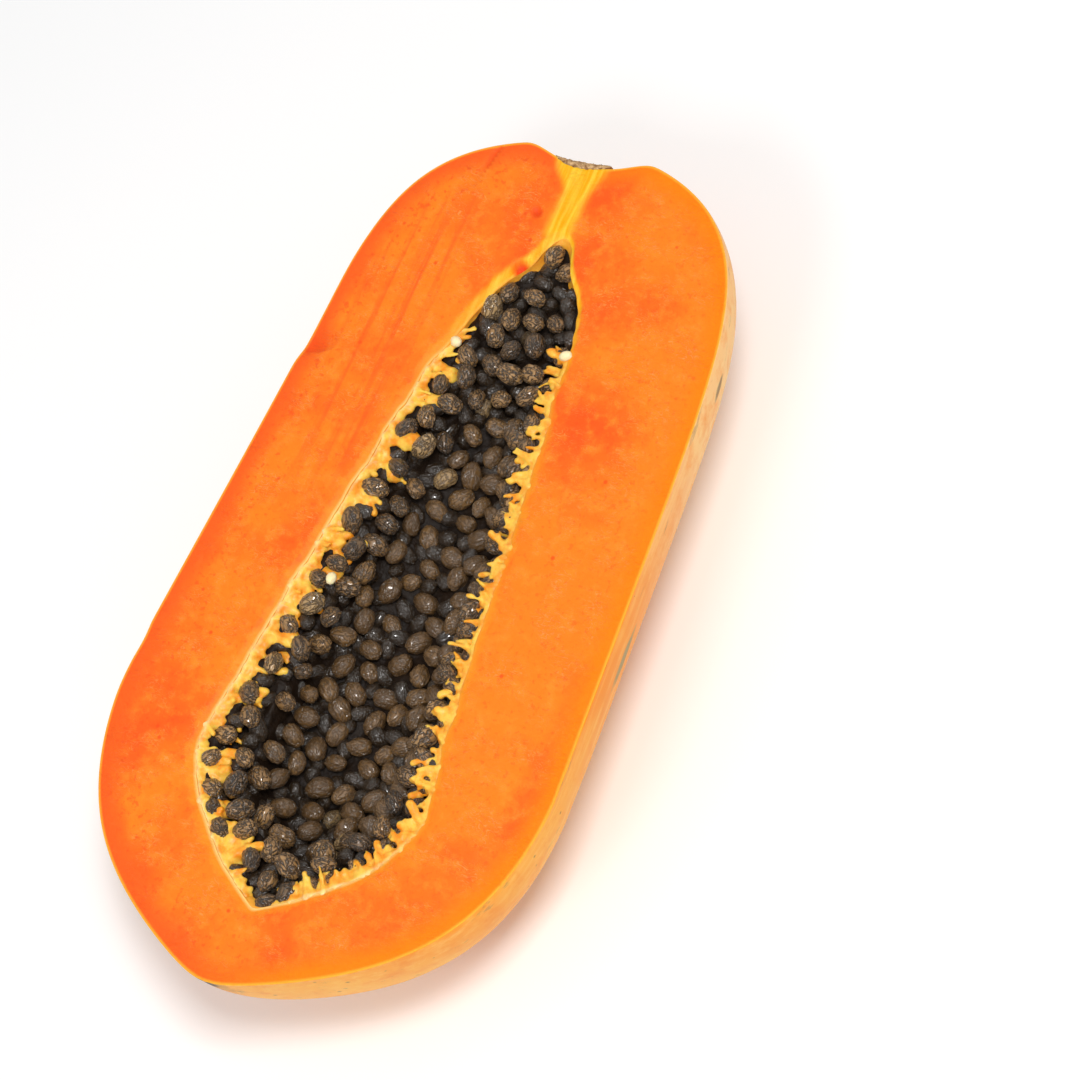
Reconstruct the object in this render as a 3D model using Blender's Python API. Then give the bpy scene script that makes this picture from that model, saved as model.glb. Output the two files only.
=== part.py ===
"""Half of a ripe papaya, cut lengthwise and lying on its skin with the cut face up.

The long axis lies along Y, with the stem end at +Y. The shapes are made with the cut face
at z = 0, and at the end the half is stood with the centre of its base at the origin.
All sizes are in metres.
"""

import math
import random

import bmesh
import bpy
from mathutils import Vector

MM = 0.001

# The skin. The belly is the widest ring, which lies towards the blossom end.
FRUIT_WIDTH = 0.1196
HALF_DEPTH = 0.0540
BLOSSOM_END_Y = -0.1125
STEM_END_Y = 0.1180
BELLY_Y = -0.0450
STEM_TAPER = 0.16
STEM_SQUARENESS = 10
BLOSSOM_POINT = 0.47
KEEL_TAPER = 0.03
KEEL_BLUNTNESS = 3.4
REST_Y = 0.0050
REST_CROWN = 0.040
TIP_OFFSET = -0.0035
LOBES = 5
LOBE_DEPTH = 0.008
SHOULDER_LOBE_DEPTH = 0.030
SHOULDER_TILT = 0.055
REST_FLAT_DEPTH = 0.0004

# The dent round the stalk, and the stub of the stalk that stands in it.
DENT_RADIUS = 0.0140
DENT_DEPTH = 0.0058
STUB_RADIUS = 0.0062
STUB_HEIGHT = 0.0016

# The seed cavity, a pointed hollow that is widest near the blossom end.
CAVITY_WIDTH = 0.0620
CAVITY_DEPTH_RATIO = 0.92
CAVITY_BLOSSOM_Y = -0.0925
CAVITY_STEM_Y = 0.0920
CAVITY_BELLY_Y = -0.0570
CAVITY_TAPER = 0.55
CAVITY_SQUARENESS = 7
CAVITY_LOBE_DEPTH = 0.05
CAVITY_LIFT = 0.0012

# The threads of pale flesh that held the seeds and stand out of the cavity's wall.
THREAD_COUNT = 36
THREADS_BLOSSOM_Y = -0.0825
THREADS_STEM_Y = 0.0570
THREAD_TIP_SHARE = 0.55
THREAD_RADIUS = (0.0008, 0.0012)
THREAD_LENGTH = (0.0045, 0.0085)
THREAD_DEPTH = (0.0026, 0.0050)
THREAD_SPREAD = 0.5
THREAD_DROOP = (0.05, 0.40)
THREAD_ROOT = 0.0025
THREAD_SIDES = 4
THREAD_DRAW = 7

# The seeds, and the bed of packed seeds under the ones that show.
SEED_LENGTH = 0.0068
SEED_WIDTH = 0.0054
SEED_SIZE_SPREAD = 0.12
SEED_SPACING = 0.0055
SEED_TRIES = 9000
SEED_SUNK = 0.30
SEED_WALL_ROOM = 0.0019
SEED_LEAN = 0.5
SEED_SPHERE_RADIUS = 0.54
SEED_DRAW = 11
BED_DROP = 0.0040
BED_HOLLOW_WIDTH = 0.76
BED_HOLLOW_DEPTH = 0.86
BED_HOLLOW_BLOSSOM_Y = -0.0820
BED_HOLLOW_STEM_Y = 0.0560
HOLLOW_DEPTH_RATIO = CAVITY_DEPTH_RATIO * BED_HOLLOW_DEPTH / BED_HOLLOW_WIDTH
GAP = 0.00035

# Fineness of the meshes.
PROFILE_FINENESS = 600
SKIN_SIDES = 48
SKIN_RINGS = 34
DENT_STEPS = (0.82, 0.62, 0.47, 0.38, 0.0)
CAVITY_SIDES = 24
CAVITY_RINGS = 30
HOLLOW_SIDES = 16
HOLLOW_RINGS = 20
SMOOTH_ANGLE = math.radians(40)


def clear_scene():
    for old in list(bpy.data.objects):
        bpy.data.objects.remove(old, do_unlink=True)


def new_collection(name):
    collection = bpy.data.collections.new(name)
    bpy.context.scene.collection.children.link(collection)
    return collection


def material(name, colour, roughness):
    made = bpy.data.materials.new(name)
    made.use_nodes = True
    shader = made.node_tree.nodes["Principled BSDF"]
    shader.inputs["Base Color"].default_value = (*colour, 1.0)
    shader.inputs["Roughness"].default_value = roughness
    shader.inputs["Metallic"].default_value = 0.0
    made.diffuse_color = (*colour, 1.0)
    return made


def stem_share(y, belly, end):
    """How far y is from the belly (0) to the stem end (1)."""
    return min(max((y - belly) / (end - belly), 0.0), 1.0)


def blossom_share(y, belly, end):
    """How far y is from the belly (0) to the blossom end (1)."""
    return min(max((belly - y) / (belly - end), 0.0), 1.0)


def skin_half_width(y):
    """A blunt stem end, a slow taper to it, and a blossom end drawn out to a point."""
    if y < BELLY_Y:
        u = blossom_share(y, BELLY_Y, BLOSSOM_END_Y)
        return FRUIT_WIDTH / 2 * math.sqrt(1 - u * u) * (1 - BLOSSOM_POINT * u ** 6)
    u = stem_share(y, BELLY_Y, STEM_END_Y)
    return FRUIT_WIDTH / 2 * (1 - STEM_TAPER * u) * math.sqrt(1 - u ** STEM_SQUARENESS)


def cavity_half_width(y):
    """Pointed at both ends, and narrower along the half nearer the stem."""
    if y < CAVITY_BELLY_Y:
        u = blossom_share(y, CAVITY_BELLY_Y, CAVITY_BLOSSOM_Y)
        return CAVITY_WIDTH / 2 * (1 - u * u)
    u = stem_share(y, CAVITY_BELLY_Y, CAVITY_STEM_Y)
    return CAVITY_WIDTH / 2 * (1 - CAVITY_TAPER * u) * math.sqrt(1 - u ** CAVITY_SQUARENESS)


def hollow_half_width(y):
    """The hollow left in the middle of the seeds."""
    middle = (BED_HOLLOW_BLOSSOM_Y + BED_HOLLOW_STEM_Y) / 2
    reach = (BED_HOLLOW_STEM_Y - BED_HOLLOW_BLOSSOM_Y) / 2
    v = min(abs(y - middle) / reach, 1.0)
    return BED_HOLLOW_WIDTH * cavity_half_width(y) * math.sqrt(1 - v ** 4)


def profile(half_width, start, end, count):
    """Points (y, radius) from the stem end to the blossom end, evenly spaced along the curve."""
    curve = []
    for i in range(PROFILE_FINENESS + 1):
        y = (start + end) / 2 + (end - start) / 2 * math.cos(math.pi * i / PROFILE_FINENESS)
        curve.append(Vector((y, half_width(y))))
    along = [0.0]
    for a, b in zip(curve, curve[1:]):
        along.append(along[-1] + (b - a).length)
    points = []
    step = 0
    for k in range(count + 1):
        wanted = along[-1] * k / count
        while step < PROFILE_FINENESS - 1 and along[step + 1] < wanted:
            step += 1
        share = (wanted - along[step]) / (along[step + 1] - along[step])
        points.append(curve[step].lerp(curve[step + 1], share))
    return points


def dent_drop(radius):
    """How far the skin dips at this distance from the stalk, with the stub standing in it."""
    drop = DENT_DEPTH * (1 - min(radius / DENT_RADIUS, 1.0) ** 2) ** 2
    return drop - (STUB_HEIGHT if radius < STUB_RADIUS else 0.0)


def skin_profile():
    body = profile(skin_half_width, BLOSSOM_END_Y, STEM_END_Y, SKIN_RINGS)
    sides = [p for p in body if p.y > DENT_RADIUS or p.x < 0]
    top = [Vector((STEM_END_Y, DENT_RADIUS * s)) for s in reversed(DENT_STEPS)]
    for point in top:
        point.x -= dent_drop(point.y)
    return top + sides


def lobe_swell(angle, depth):
    """Five rounded ridges, level with the plain outline at the cut, and one along the bottom."""
    return 1 - depth * math.sin(LOBES * angle)


def spindle(name, points, sides, depth_ratio, lobe_depth, lift=0.0):
    """A closed body round the Y axis, shaped from a sphere by a profile of (y, radius) points."""
    mesh = bmesh.new()
    bmesh.ops.create_uvsphere(mesh, u_segments=sides, v_segments=len(points) - 1, radius=1.0)
    for vert in mesh.verts:
        ring = round(math.acos(max(-1.0, min(1.0, vert.co.z))) / math.pi * (len(points) - 1))
        y, radius = points[ring]
        angle = math.atan2(-vert.co.y, vert.co.x)
        swell = lobe_swell(angle, lobe_depth(y))
        x = radius * swell * math.cos(angle)
        z = radius * swell * math.sin(angle) * depth_ratio(y) + lift
        vert.co = Vector((x, y, z))
    data = bpy.data.meshes.new(name)
    mesh.to_mesh(data)
    mesh.free()
    return data


def place(name, data, collection):
    made = bpy.data.objects.new(name, data)
    collection.objects.link(made)
    return made


def as_cutter(obj):
    obj.hide_render = True
    obj.display_type = "WIRE"
    return obj


def skin_depth_ratio(y):
    """Depth against half width: a nearly level keel, crowned where it rests, and a blunter blossom end."""
    if y < BELLY_Y:
        u = min(blossom_share(y, BELLY_Y, BLOSSOM_END_Y), 0.999)
        keel = math.sqrt((1 - u ** KEEL_BLUNTNESS) / (1 - u * u)) / (1 - BLOSSOM_POINT * u ** 6)
    else:
        u = stem_share(y, BELLY_Y, STEM_END_Y)
        keel = (1 - KEEL_TAPER * u) / (1 - STEM_TAPER * u)
    crown = 1 - REST_CROWN * ((y - REST_Y) / STEM_END_Y) ** 2
    return HALF_DEPTH / (FRUIT_WIDTH / 2) * keel * crown


def tip_lean(y):
    """Both ends lie a little to one side of the middle line."""
    towards_stem = stem_share(y, BELLY_Y, STEM_END_Y) ** 4
    towards_blossom = blossom_share(y, BELLY_Y, BLOSSOM_END_Y) ** 3
    return TIP_OFFSET * (towards_stem + towards_blossom)


def skin_lobe_depth(y):
    """Faint ridges along the body, and clear shoulders round the stalk."""
    return LOBE_DEPTH + SHOULDER_LOBE_DEPTH * stem_share(y, BELLY_Y, STEM_END_Y) ** 6


def cavity_body(name, inset):
    """The cavity's wall, moved inwards by the inset."""
    points = profile(cavity_half_width, CAVITY_BLOSSOM_Y, CAVITY_STEM_Y, CAVITY_RINGS)
    middle = (CAVITY_BLOSSOM_Y + CAVITY_STEM_Y) / 2
    length_share = 1 - 5 * inset / (CAVITY_STEM_Y - CAVITY_BLOSSOM_Y)
    for point in points:
        point.x = middle + (point.x - middle) * length_share
        point.y = max(point.y - inset, 0.0)
    points[0].y = 0.0
    points[-1].y = 0.0
    return spindle(name, points, CAVITY_SIDES, lambda y: CAVITY_DEPTH_RATIO,
                   lambda y: CAVITY_LOBE_DEPTH, CAVITY_LIFT)


def cut_flat(data, height, keep_below):
    """Slice a mesh by a level plane, drop one side and close the cut."""
    mesh = bmesh.new()
    mesh.from_mesh(data)
    everything = mesh.verts[:] + mesh.edges[:] + mesh.faces[:]
    cut = bmesh.ops.bisect_plane(
        mesh, geom=everything, dist=1e-7, plane_co=(0, 0, height), plane_no=(0, 0, 1),
        clear_outer=keep_below, clear_inner=not keep_below)
    rim = [e for e in cut["geom_cut"] if isinstance(e, bmesh.types.BMEdge)]
    bmesh.ops.edgeloop_fill(mesh, edges=rim)
    bmesh.ops.recalc_face_normals(mesh, faces=mesh.faces[:])
    mesh.to_mesh(data)
    mesh.free()


def boolean(target, tool, operation):
    """Apply one Boolean with an object or a whole collection, and give the target its result."""
    modifier = target.modifiers.new(operation.lower(), "BOOLEAN")
    modifier.operation = operation
    modifier.solver = "EXACT"
    if isinstance(tool, bpy.types.Collection):
        modifier.operand_type = "COLLECTION"
        modifier.collection = tool
    else:
        modifier.object = tool
    graph = bpy.context.evaluated_depsgraph_get()
    result = bpy.data.meshes.new_from_object(target.evaluated_get(graph), depsgraph=graph)
    target.modifiers.clear()
    result.name = target.name
    target.data = result


def remove_all(collection):
    for made in list(collection.objects):
        bpy.data.objects.remove(made, do_unlink=True)
    bpy.data.collections.remove(collection)


def thread_places():
    """Root, direction, length and radius of each thread, along both edges of the cavity."""
    rng = random.Random(THREAD_DRAW)
    places = []
    pairs = THREAD_COUNT // 2
    for i in range(THREAD_COUNT):
        share = (i // 2 + rng.random()) / pairs
        y = THREADS_BLOSSOM_Y + (THREADS_STEM_Y - THREADS_BLOSSOM_Y) * share
        side = 1 if i % 2 else -1
        width = cavity_half_width(y)
        depth = rng.uniform(*THREAD_DEPTH)
        x = side * width * math.sqrt(1 - (depth / (CAVITY_DEPTH_RATIO * width)) ** 2)
        slope = (cavity_half_width(y + MM) - cavity_half_width(y - MM)) / (2 * MM)
        inward = Vector((-side, slope, 0)).normalized()
        along = Vector((0, 1, 0)) * rng.uniform(-THREAD_SPREAD, THREAD_SPREAD)
        down = Vector((0, 0, -1)) * rng.uniform(*THREAD_DROOP)
        direction = (inward + along + down).normalized()
        places.append((Vector((x, y, -depth)), direction, rng.uniform(*THREAD_LENGTH),
                       rng.uniform(*THREAD_RADIUS)))
    return places


def threads(places, grow, collection):
    """Tapered threads, each with its root sunk in the flesh; grow makes them fatter all over."""
    for i, (root, direction, length, radius) in enumerate(places):
        mesh = bmesh.new()
        bmesh.ops.create_cone(mesh, cap_ends=True, segments=THREAD_SIDES, radius1=radius + grow,
                              radius2=radius * THREAD_TIP_SHARE + grow, depth=length + THREAD_ROOT + grow)
        turn = Vector((0, 0, 1)).rotation_difference(direction)
        middle = root + direction * (length - THREAD_ROOT + grow) / 2
        for vert in mesh.verts:
            vert.co = middle + turn @ vert.co
        data = bpy.data.meshes.new("thread")
        mesh.to_mesh(data)
        mesh.free()
        place("thread_%02d" % i, data, collection)
    return collection


def fruit_half(parts, cutters, places):
    """The skin, the flesh and the threads, which grew as one piece."""
    data = spindle("fruit_half", skin_profile(), SKIN_SIDES, skin_depth_ratio, skin_lobe_depth)
    for vert in data.vertices:
        vert.co.y += SHOULDER_TILT * vert.co.x * stem_share(vert.co.y, BELLY_Y, STEM_END_Y) ** 6
        vert.co.x += tip_lean(vert.co.y)
    cut_flat(data, 0.0, keep_below=True)
    lowest = min(v.co.z for v in data.vertices)
    cut_flat(data, lowest + REST_FLAT_DEPTH, keep_below=False)
    fruit = place("fruit_half", data, parts)
    cavity = as_cutter(place("cavity", cavity_body("cavity", 0.0), cutters))
    boolean(fruit, cavity, "DIFFERENCE")
    joined = threads(places, 0.0, new_collection("threads"))
    boolean(fruit, joined, "UNION")
    remove_all(joined)
    return fruit


def bed_mesh(parts):
    """The packed seeds under the ones that show: the cavity filled, with a hollow in the middle."""
    data = cavity_body("seeds", GAP / 3)
    cut_flat(data, -BED_DROP, keep_below=True)
    return place("seeds", data, parts)


def bed_height(x, y):
    """Height of the bed's top, below the cut face: level near the wall, and hollow in the middle."""
    half_width = hollow_half_width(y)
    if abs(x) >= half_width:
        return -BED_DROP
    return min(-BED_DROP, -HOLLOW_DEPTH_RATIO * math.sqrt(half_width ** 2 - x ** 2))


def bed_normal(x, y):
    """The way that the bed faces, from its height a millimetre away on each side."""
    slope_x = (bed_height(x + MM, y) - bed_height(x - MM, y)) / (2 * MM)
    slope_y = (bed_height(x, y + MM) - bed_height(x, y - MM)) / (2 * MM)
    return Vector((-slope_x, -slope_y, 1)).normalized()


def seed_places():
    """Centre, direction and size of each seed, thrown at random and kept where none lies too near."""
    rng = random.Random(SEED_DRAW)
    places = []
    for _ in range(SEED_TRIES):
        y = rng.uniform(CAVITY_BLOSSOM_Y, CAVITY_STEM_Y)
        x = rng.uniform(-0.5, 0.5) * CAVITY_WIDTH
        if abs(x) > cavity_half_width(y) - SEED_WALL_ROOM:
            continue
        spot = Vector((x, y, bed_height(x, y)))
        centre = spot + bed_normal(x, y) * SEED_WIDTH * (0.5 - SEED_SUNK)
        if any((centre - other[0]).length < SEED_SPACING for other in places):
            continue
        heading = rng.uniform(0, 2 * math.pi)
        lean = rng.uniform(-SEED_LEAN, SEED_LEAN)
        along = Vector((math.cos(heading), math.sin(heading), lean)).normalized()
        size = 1 + SEED_SIZE_SPREAD * rng.uniform(-1, 1)
        places.append((centre, along, size))
    return places


def seed(name, centre, along, size, collection):
    """One seed: a round body, a little longer than wide."""
    mesh = bmesh.new()
    bmesh.ops.create_icosphere(mesh, subdivisions=1, radius=SEED_SPHERE_RADIUS)
    turn = Vector((0, 0, 1)).rotation_difference(along)
    for vert in mesh.verts:
        shaped = Vector((vert.co.x * SEED_WIDTH, vert.co.y * SEED_WIDTH, vert.co.z * SEED_LENGTH))
        vert.co = centre + turn @ (shaped * size)
    data = bpy.data.meshes.new(name)
    mesh.to_mesh(data)
    mesh.free()
    return place(name, data, collection)


def keep_largest(obj):
    """Drop the loose scraps that a cut left beside the main body."""
    mesh = bmesh.new()
    mesh.from_mesh(obj.data)
    bmesh.ops.triangulate(mesh, faces=mesh.faces[:])
    left = set(mesh.verts)
    bodies = []
    while left:
        body = set()
        edge = [left.pop()]
        while edge:
            vert = edge.pop()
            body.add(vert)
            for link in vert.link_edges:
                other = link.other_vert(vert)
                if other in left:
                    left.discard(other)
                    edge.append(other)
        bodies.append(body)
    largest = max(bodies, key=len)
    scraps = [v for body in bodies if body is not largest for v in body]
    bmesh.ops.delete(mesh, geom=scraps, context="VERTS")
    mesh.to_mesh(obj.data)
    mesh.free()


def seeds(parts, cutters, places):
    """All the seeds, packed as one body that fills the cavity round its hollow."""
    bed = bed_mesh(parts)
    points = profile(hollow_half_width, BED_HOLLOW_BLOSSOM_Y, BED_HOLLOW_STEM_Y, HOLLOW_RINGS)
    data = spindle("seed_hollow", points, HOLLOW_SIDES, lambda y: HOLLOW_DEPTH_RATIO, lambda y: 0.0)
    hollow = as_cutter(place("seed_hollow", data, cutters))
    boolean(bed, hollow, "DIFFERENCE")
    pile = new_collection("seed_pile")
    for i, (centre, along, size) in enumerate(seed_places()):
        seed("seed_%03d" % i, centre, along, size, pile)
    boolean(bed, pile, "UNION")
    remove_all(pile)
    clear = as_cutter(place("cavity_clear", cavity_body("cavity_clear", GAP), cutters))
    boolean(bed, clear, "INTERSECT")
    gaps = threads(places, GAP, new_collection("thread_gaps"))
    boolean(bed, gaps, "DIFFERENCE")
    remove_all(gaps)
    keep_largest(bed)
    return bed


def stand_on_origin(parts):
    """Move everything so that the centre of the base is at the origin."""
    corners = [v.co for made in parts.objects for v in made.data.vertices]
    low = Vector([min(c[i] for c in corners) for i in range(3)])
    high = Vector([max(c[i] for c in corners) for i in range(3)])
    shift = Vector((-(low.x + high.x) / 2, -(low.y + high.y) / 2, -low.z))
    for made in bpy.data.objects:
        for vert in made.data.vertices:
            vert.co += shift
    return shift


def finish(obj, *materials):
    obj.data.materials.clear()
    for one in materials:
        obj.data.materials.append(one)
    obj.data.shade_smooth()
    obj.data.set_sharp_from_angle(angle=SMOOTH_ANGLE)


def colour_fruit(fruit, cut_height):
    """Skin outside, flesh on the cut face and in the cavity."""
    flesh = material("papaya_flesh", (1.0, 0.19, 0.02), 0.35)
    skin = material("papaya_skin", (0.95, 0.42, 0.04), 0.45)
    finish(fruit, skin, flesh)
    for face in fruit.data.polygons:
        middle = face.center
        inside = abs(middle.x) < CAVITY_WIDTH * 0.6 and face.normal.z > 0.05
        on_cut = middle.z > cut_height - 0.1 * MM
        face.material_index = 1 if inside or on_cut else 0


def main():
    clear_scene()
    parts = new_collection("papaya_half")
    cutters = new_collection("cutters")
    places = thread_places()
    fruit = fruit_half(parts, cutters, places)
    pile = seeds(parts, cutters, places)
    shift = stand_on_origin(parts)
    colour_fruit(fruit, shift.z)
    finish(pile, material("papaya_seeds", (0.035, 0.028, 0.024), 0.3))


main()
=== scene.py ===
"""Half of a ripe papaya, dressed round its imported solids, with a pale floor, soft light and a camera.

Shapes are worked out in the fruit's own frame, with the cut face at z = 0, the stem end at +Y and
all lengths in metres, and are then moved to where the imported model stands.
"""

import math
import random

import bmesh
import bpy
from mathutils import Matrix, Vector, noise


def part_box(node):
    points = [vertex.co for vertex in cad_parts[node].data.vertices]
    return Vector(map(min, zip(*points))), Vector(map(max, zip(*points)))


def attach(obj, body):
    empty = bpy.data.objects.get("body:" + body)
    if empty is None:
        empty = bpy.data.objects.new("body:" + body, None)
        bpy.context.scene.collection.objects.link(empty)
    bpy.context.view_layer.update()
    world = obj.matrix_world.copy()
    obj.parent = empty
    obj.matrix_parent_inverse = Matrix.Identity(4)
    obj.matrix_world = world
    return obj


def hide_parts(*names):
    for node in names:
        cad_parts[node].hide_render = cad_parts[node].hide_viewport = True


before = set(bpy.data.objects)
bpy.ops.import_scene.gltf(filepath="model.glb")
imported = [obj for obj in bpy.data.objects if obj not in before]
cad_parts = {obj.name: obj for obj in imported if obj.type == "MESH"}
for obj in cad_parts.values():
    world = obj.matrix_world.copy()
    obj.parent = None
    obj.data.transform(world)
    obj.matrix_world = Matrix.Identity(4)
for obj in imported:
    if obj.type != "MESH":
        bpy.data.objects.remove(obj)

bl_info = {
    "name": "Papaya Half",
    "version": (1, 0, 0),
    "blender": (4, 5, 0),
    "location": "View3D > Sidebar > Papaya",
    "description": "Builds a halved papaya with its flesh, fibres and seeds, and a stage to show it on",
    "category": "Add Mesh",
}

MM = 0.001

# The camera, solved from the two scars of the fruit, and what it looks at on the cut face.
LOOK_AT = Vector((28.57 * MM, 14.58 * MM, 0))
CAMERA_DISTANCE = 0.79019
CAMERA_AZIMUTH = math.radians(57.4)
CAMERA_ELEVATION = math.radians(60.0)
CAMERA_ROLL = math.radians(-36.508)
CAMERA_LENS = 110
SOFTBOX_SIZE = 0.22

# The skin's outline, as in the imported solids.
FRUIT_WIDTH = 0.1196
HALF_DEPTH = 0.0540
BLOSSOM_END_Y = -0.1125
STEM_END_Y = 0.1180
BELLY_Y = -0.0450
STEM_TAPER = 0.16
STEM_SQUARENESS = 10
BLOSSOM_POINT = 0.47
KEEL_TAPER = 0.03
KEEL_BLUNTNESS = 3.4
REST_Y = 0.0050
REST_CROWN = 0.040
TIP_OFFSET = -0.0035
LOBES = 5
LOBE_DEPTH = 0.008
SHOULDER_LOBE_DEPTH = 0.030
SHOULDER_TILT = 0.055
DENT_SPREAD = 0.0185
DENT_DEPTH = 0.0058
STUB_RADIUS = 0.0066

# The seed cavity's outline.
CAVITY_WIDTH = 0.0620
CAVITY_DEPTH_RATIO = 0.92
CAVITY_BLOSSOM_Y = -0.0925
CAVITY_STEM_Y = 0.0920
CAVITY_BELLY_Y = -0.0570
CAVITY_TAPER = 0.55
CAVITY_SQUARENESS = 7
CAVITY_LOBE_DEPTH = 0.05
CAVITY_LIFT = 0.0012

# What the photographed fruit has and the even outlines above don't: a cavity that lies more to
# the left, a narrower tip, a scar and a step in the skin's left edge, and a crease in the flesh.
LEFT_WIDENING = 0.0019
RIGHT_NARROWING = 0.0022
TIP_NARROWING = 0.0036
NOTCH_DEPTH = 0.0008
STEP_DEPTH = 0.0005
EDGE_DIP = 0.0009
CREASE_DIP = 0.0007
FLATTENED = 0.03
TIP_SEED = (-0.0012, 0.0872, -0.0020)
# Centre of the painted highlight on the skin's right shoulder, near the stem end.
SHOULDER_HIGHLIGHT = (0.050, 0.070, -0.010)
SKIN_MARKS = (((0.0575, -0.0050, -0.0100), "#8E8A5C", 9, 1.8),
              ((0.0515, 0.0673, -0.0080), "#7A5A24", 4, 1.6))
FACE_LAYERS = ("from_skin", "from_cavity", "fibre", "knife", "torn", "pit_and_crease_shade")
UNRIPE_SPOTS = ((-0.0158, 0.0579), (0.0138, 0.0619), (-0.0190, -0.0101))

# Small pits in the cut face: place and depth, then, in mm, where the pit and its ring of painted shade
# fade.
PITS = (
    (Vector((-0.0102, 0.0968)), 0.0012, (0.3, 1.9), (0.3, 2.4)),
    (Vector((-0.0078, 0.0810)), 0.0022, (0.8, 2.6), (1.0, 3.2)),
)

# Where the main threads of flesh grow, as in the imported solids.
THREAD_COUNT = 36
THREADS_BLOSSOM_Y = -0.0825
THREADS_STEM_Y = 0.0570
THREAD_RADIUS = (0.0008, 0.0012)
THREAD_LENGTH = (0.0045, 0.0085)
THREAD_DEPTH = (0.0026, 0.0050)
THREAD_SPREAD = 0.5
THREAD_DROOP = (0.05, 0.40)
THREAD_DRAW = 7

# Where the seeds lie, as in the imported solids.
SEED_LENGTH = 0.0068
SEED_WIDTH = 0.0054
SEED_SIZE_SPREAD = 0.12
SEED_SPACING = 0.0055
SEED_TRIES = 9000
SEED_SUNK = 0.30
SEED_WALL_ROOM = 0.0019
SEED_LEAN = 0.5
SEED_DRAW = 11
BED_DROP = 0.0040
BED_HOLLOW_WIDTH = 0.76
BED_HOLLOW_DEPTH = 0.86
BED_HOLLOW_BLOSSOM_Y = -0.0820
BED_HOLLOW_STEM_Y = 0.0560
HOLLOW_DEPTH_RATIO = CAVITY_DEPTH_RATIO * BED_HOLLOW_DEPTH / BED_HOLLOW_WIDTH

# Finer detail of the seeds and the fibres: the ridges of a seed's coat, in millimetres, how much
# lower seeds beside the wall lie than in the solids, the grain that fibres are fused at, and how
# often they are smoothed.
RIDGE_SPACING = 1.3
RIDGE_LENGTH = 3.6
SEED_SETTLE = 0.0014
SEED_SHRINK = 0.96
FIBRE_VOXEL = 0.00036
FIBRE_ROUNDS = 2

# Fibres: fingers on the right and the left, broad fingers on the left, and the seeds of the draws.
# Seeds: ridges and bands of the cages of those that show, are packed below, and never ripened,
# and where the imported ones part. Last, the cells of the bed's sheet and of the stub.
FINGER_COUNTS = ((1, 135), (-1, 36))
BROAD_FINGERS = 46
FIBRE_DRAW = 23
COAT_DRAW = 31
SHOWN_CAGE = (5, 6)
PACKED_CAGE = (3, 4)
UNRIPE_CAGE = (4, 5)
PACKED_SPLIT_Y = -0.0250
BED_CELLS = (70, 230)
STUB_CELLS = (96, 48)

# Fineness of the fruit's mesh: rings along it, sides round it, rows across the cut face, and how
# often its rim and the cavity's lip are smoothed. Skin counts as far from the cavity, in mm.
RIM_ROUNDS = 3
LIP_ROUNDS = 8
FAR_FROM_CAVITY = 30.0
PROFILE_FINENESS = 800
RINGS = 330
SKIN_SIDES = 84
CAVITY_SIDES = 28
FACE_ROWS = 46
RIM_CROWDING = 0.85
ROW_CROWDING = 0.60


def hex_colour(code):
    """Linear colour of an sRGB hex value."""
    parts = [int(code[i:i + 2], 16) / 255 for i in (1, 3, 5)]
    linear = [p / 12.92 if p <= 0.04045 else ((p + 0.055) / 1.055) ** 2.4 for p in parts]
    return (*linear, 1.0)


def per_mm(size):
    """Scale of a pattern on coordinates in metres, from its real size in millimetres."""
    return 1 / (size * MM)


def add_node(tree, kind, inputs=None, **settings):
    """Add a node. An input is a value, a hex colour, an output to link, or a node (its first output)."""
    made = tree.nodes.new(kind)
    for name, value in settings.items():
        setattr(made, name, value)
    for name, value in (inputs or {}).items():
        if isinstance(value, bpy.types.Node):
            value = value.outputs[0]
        if isinstance(value, bpy.types.NodeSocket):
            tree.links.new(value, made.inputs[name])
        else:
            made.inputs[name].default_value = hex_colour(value) if isinstance(value, str) else value
    return made


def new_material(name, shader_inputs):
    """A material with one Principled shader and its constant settings."""
    made = bpy.data.materials.new(name)
    made.use_nodes = True
    tree = made.node_tree
    shader = tree.nodes["Principled BSDF"]
    for key, value in shader_inputs.items():
        shader.inputs[key].default_value = hex_colour(value) if isinstance(value, str) else value
    return made, tree, shader


def object_place(tree):
    """Coordinates in the frame of the whole object, so that patterns run on from piece to piece."""
    return add_node(tree, "ShaderNodeTexCoord").outputs["Object"]


def finish_material(tree, shader, base, coats, height, strength, depth):
    """Lay coats of colour on a base, each by its share, and raise the surface by a pattern."""
    for share, colour in coats:
        laid = add_node(tree, "ShaderNodeMix", {0: share, 6: base, 7: colour}, data_type="RGBA")
        base = laid.outputs[2]
    tree.links.new(base, shader.inputs["Base Color"])
    bump = add_node(tree, "ShaderNodeBump", {
        "Height": height, "Strength": strength, "Distance": depth * MM})
    tree.links.new(bump.outputs[0], shader.inputs["Normal"])


def smooth_step(value, low, high):
    """From 0 to 1 between two limits, with soft ends."""
    share = min(max((value - low) / (high - low), 0.0), 1.0)
    return share * share * (3 - 2 * share)


def rise(value, low, high):
    """From 0 to 1 between two limits in millimetres."""
    return smooth_step(value, low * MM, high * MM)


def fade(value, low, high):
    """From 1 to 0 between two limits in millimetres."""
    return 1 - rise(value, low, high)


def stem_share(y, belly, end):
    """How far y is from the belly (0) to the stem end (1)."""
    return min(max((y - belly) / (end - belly), 0.0), 1.0)


def blossom_share(y, belly, end):
    """How far y is from the belly (0) to the blossom end (1)."""
    return min(max((belly - y) / (belly - end), 0.0), 1.0)


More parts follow.
